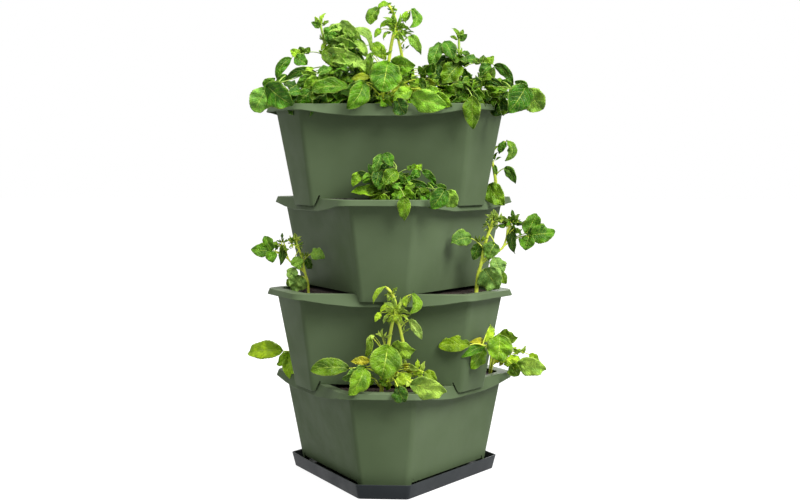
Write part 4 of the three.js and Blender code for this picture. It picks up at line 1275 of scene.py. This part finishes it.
SPREADING_LEFT = SPREADING_RIGHT._replace(
    fresh=(0.82, 1, 0.5),
    leaves=SPREADING_LEAVES + FAR_LEFT_LEAVES + CURLED_LEAVES + TUFT_LEAVES + INSIDE_RIM_LEAVES,
    thickets=LEFT_BUSH_THICKETS,
)
YOUNG_SPREADING = Kind(
    135 * MM,
    (3 * MM, 1 * MM, 0.8 * MM),
    PALE_JUICE,
    (0.78, 1, 0.5),
    (SPREADING_STEMS[0][:4], *SPREADING_STEMS[1:]),
    SPREADING_LEAVES + FAR_RIGHT_LEAVES + OVER_RIM_LEAVES,
    YOUNG_THICKETS,
)

# A plant's tier, name and kind, its root in shares of the way to a pocket's middle, its lean in
# degrees, whether it is mirrored, and how far it is lifted as a share of its size.
PLANTS = (
    (1, "front", TALL, -0.05, -1, 0, False, 0.03),
    (1, "back_right", CORNER_RIGHT, 1.14, 0.33, 0, False, 0.08),
    (1, "back_left", CORNER_LEFT, -1.04, 0.3, 0, False, 0.03),
    (2, "right", SLENDER, 0.985, -0.46, 0, False, 0.05),
    (2, "left", YOUNG_SLENDER, -0.9, -0.46, 0, True, 0.03),
    (3, "front", YOUNG_SPREADING, 0.11, -1, 0, False, 0.04),
    (3, "back_right", SUNK, 0.96, 0.33, 0, False, -0.39),
    (4, "centre", TALL_CENTRE, -0.065, -0.79, 0, False, -0.02),
    (4, "right", SPREADING_RIGHT, 0.77, -0.57, 0, False, 0.04),
    (4, "left", SPREADING_LEFT, -0.57, -0.57, 11.5, True, 0.2),
)


def add_plant(tier, name, kind, right, back, lean, mirrored, lift):
    size = kind.size
    hand = -1 if mirrored else 1
    turn = math.radians(lean)
    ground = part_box(f"soil_{tier}")[1].z
    root = Vector((right * POCKET_MIDDLE, back * POCKET_MIDDLE, ground))

    def place(share):
        x, y, z = share
        across = hand * (x * math.cos(turn) + z * math.sin(turn))
        return root + size * Vector((across, -y, z * math.cos(turn) - x * math.sin(turn) + lift))

    sprig = Sprig(kind.fresh)
    lines = [[place(share) for share in stem] for stem in kind.stems]
    for line, radius in zip(lines, kind.radii):
        steps = STEM_STEPS * (len(line) - 1)
        path = [curve_point(line, step / STEM_STEPS) for step in range(steps + 1)]
        radii = [radius * (1 - STEM_TAPER * step / steps) for step in range(steps + 1)]
        shown = [(p, r) for p, r in zip(path, radii) if p.z > ground - SOIL_BELOW_RIM]
        sprig.tube([p for p, r in shown], [r for p, r in shown])
    for leaf in kind.leaves:
        spring = curve_point(lines[leaf.stem], leaf.at)
        turned = leaf._replace(roll=hand * leaf.roll, bend=hand * leaf.bend)
        sprig.blade(spring, place(leaf.base), place(leaf.tip), leaf.width * size, turned)
    for thicket in kind.thickets:
        sprig.thicket(thicket, place, size)
    node = f"plant_{tier}_{name}"
    stems_piece = sprig.stems_piece(f"stems_{tier}_{name}", kind.juice)
    leaves_piece = sprig.leaves_piece(f"leaves_{tier}_{name}")
    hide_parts(node)
    for piece in (stems_piece, leaves_piece):
        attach(piece, f"tier_{tier}")


# The studio.

def add_floor():
    """A wide pale floor, which shows white to the eye and keeps the tower's soft shadow."""
    start_alone()
    bpy.ops.mesh.primitive_plane_add(size=40)
    floor = bpy.context.object
    floor.name = "studio_floor"
    finish = Finish("pale_floor", srgb(150, 150, 150), 0.9)
    matte = finish.node("ShaderNodeBsdfDiffuse", Color=(0.3, 0.3, 0.3, 1))
    from_tower = finish.wired("ShaderNodeVectorMath", finish.where())
    from_tower.operation = "LENGTH"
    whiteness = finish.steps(from_tower.outputs["Value"], 0.7, 3.5, 0.9, 1.0)
    glow = finish.node("ShaderNodeEmission", Color=(1, 1, 1, 1), Strength=whiteness)
    both = finish.wired("ShaderNodeAddShader", matte.outputs[0], glow.outputs[0])
    shader = finish.shader.outputs[0]
    choice = finish.wired("ShaderNodeMixShader", finish.seen(), shader, both.outputs[0])
    finish.feed(finish.tree.nodes["Material Output"].inputs["Surface"], choice.outputs[0])
    paint(floor, finish.material)


def add_world(level):
    """White to the eye, and a soft light of the given level for the tower."""
    world = bpy.data.worlds.new("studio_world")
    world.use_nodes = True
    bpy.context.scene.world = world
    light = Recipe(world.node_tree)
    background = light.tree.nodes["Background"]
    light.feed(background.inputs["Color"], (1, 1, 1, 1))
    light.feed(background.inputs["Strength"], light.steps(light.seen(), 0.0, 1.0, level, 1.0))


def add_lamp(name, place, power, size):
    """A square soft lamp that shines at the middle of the tower."""
    target = Vector((0, 0, (cad_low.z + cad_high.z) / 2))
    turn = (target - Vector(place)).to_track_quat("-Z", "Y").to_euler()
    bpy.ops.object.light_add(type="AREA", location=place, rotation=turn)
    lamp = bpy.context.object
    lamp.name = name
    lamp.data.energy = power
    lamp.data.size = size


add_tray()
add_pots()
add_compost()
LEAF_FORMS = {
    "ovate": leaf_form("ovate", 10, 22, 0.4, 0.8, 0.06),
    "round": leaf_form("round", 10, 22, 0.48, 0.6, 0.05),
    "narrow": leaf_form("narrow", 6, 12, 0.45, 1.0, 0.1),
    "small_ovate": leaf_form("small_ovate", 4, 8, 0.42, 0.8, 0.08),
    "small_narrow": leaf_form("small_narrow", 4, 6, 0.45, 1.0, 0.12),
}
for plant in PLANTS:
    add_plant(*plant)
for form in LEAF_FORMS.values():
    bpy.data.objects.remove(form)

add_floor()
add_world(0.24)
add_lamp("window_right", (2.3, -2.1, 3.0), 174, 1.9)
add_lamp("sky", (-0.2, -1.2, 3.5), 76, 2.0)
add_lamp("fill_behind", (0.7, 3.2, 1.8), 60, 2.2)
bpy.context.scene.view_settings.view_transform = "Standard"
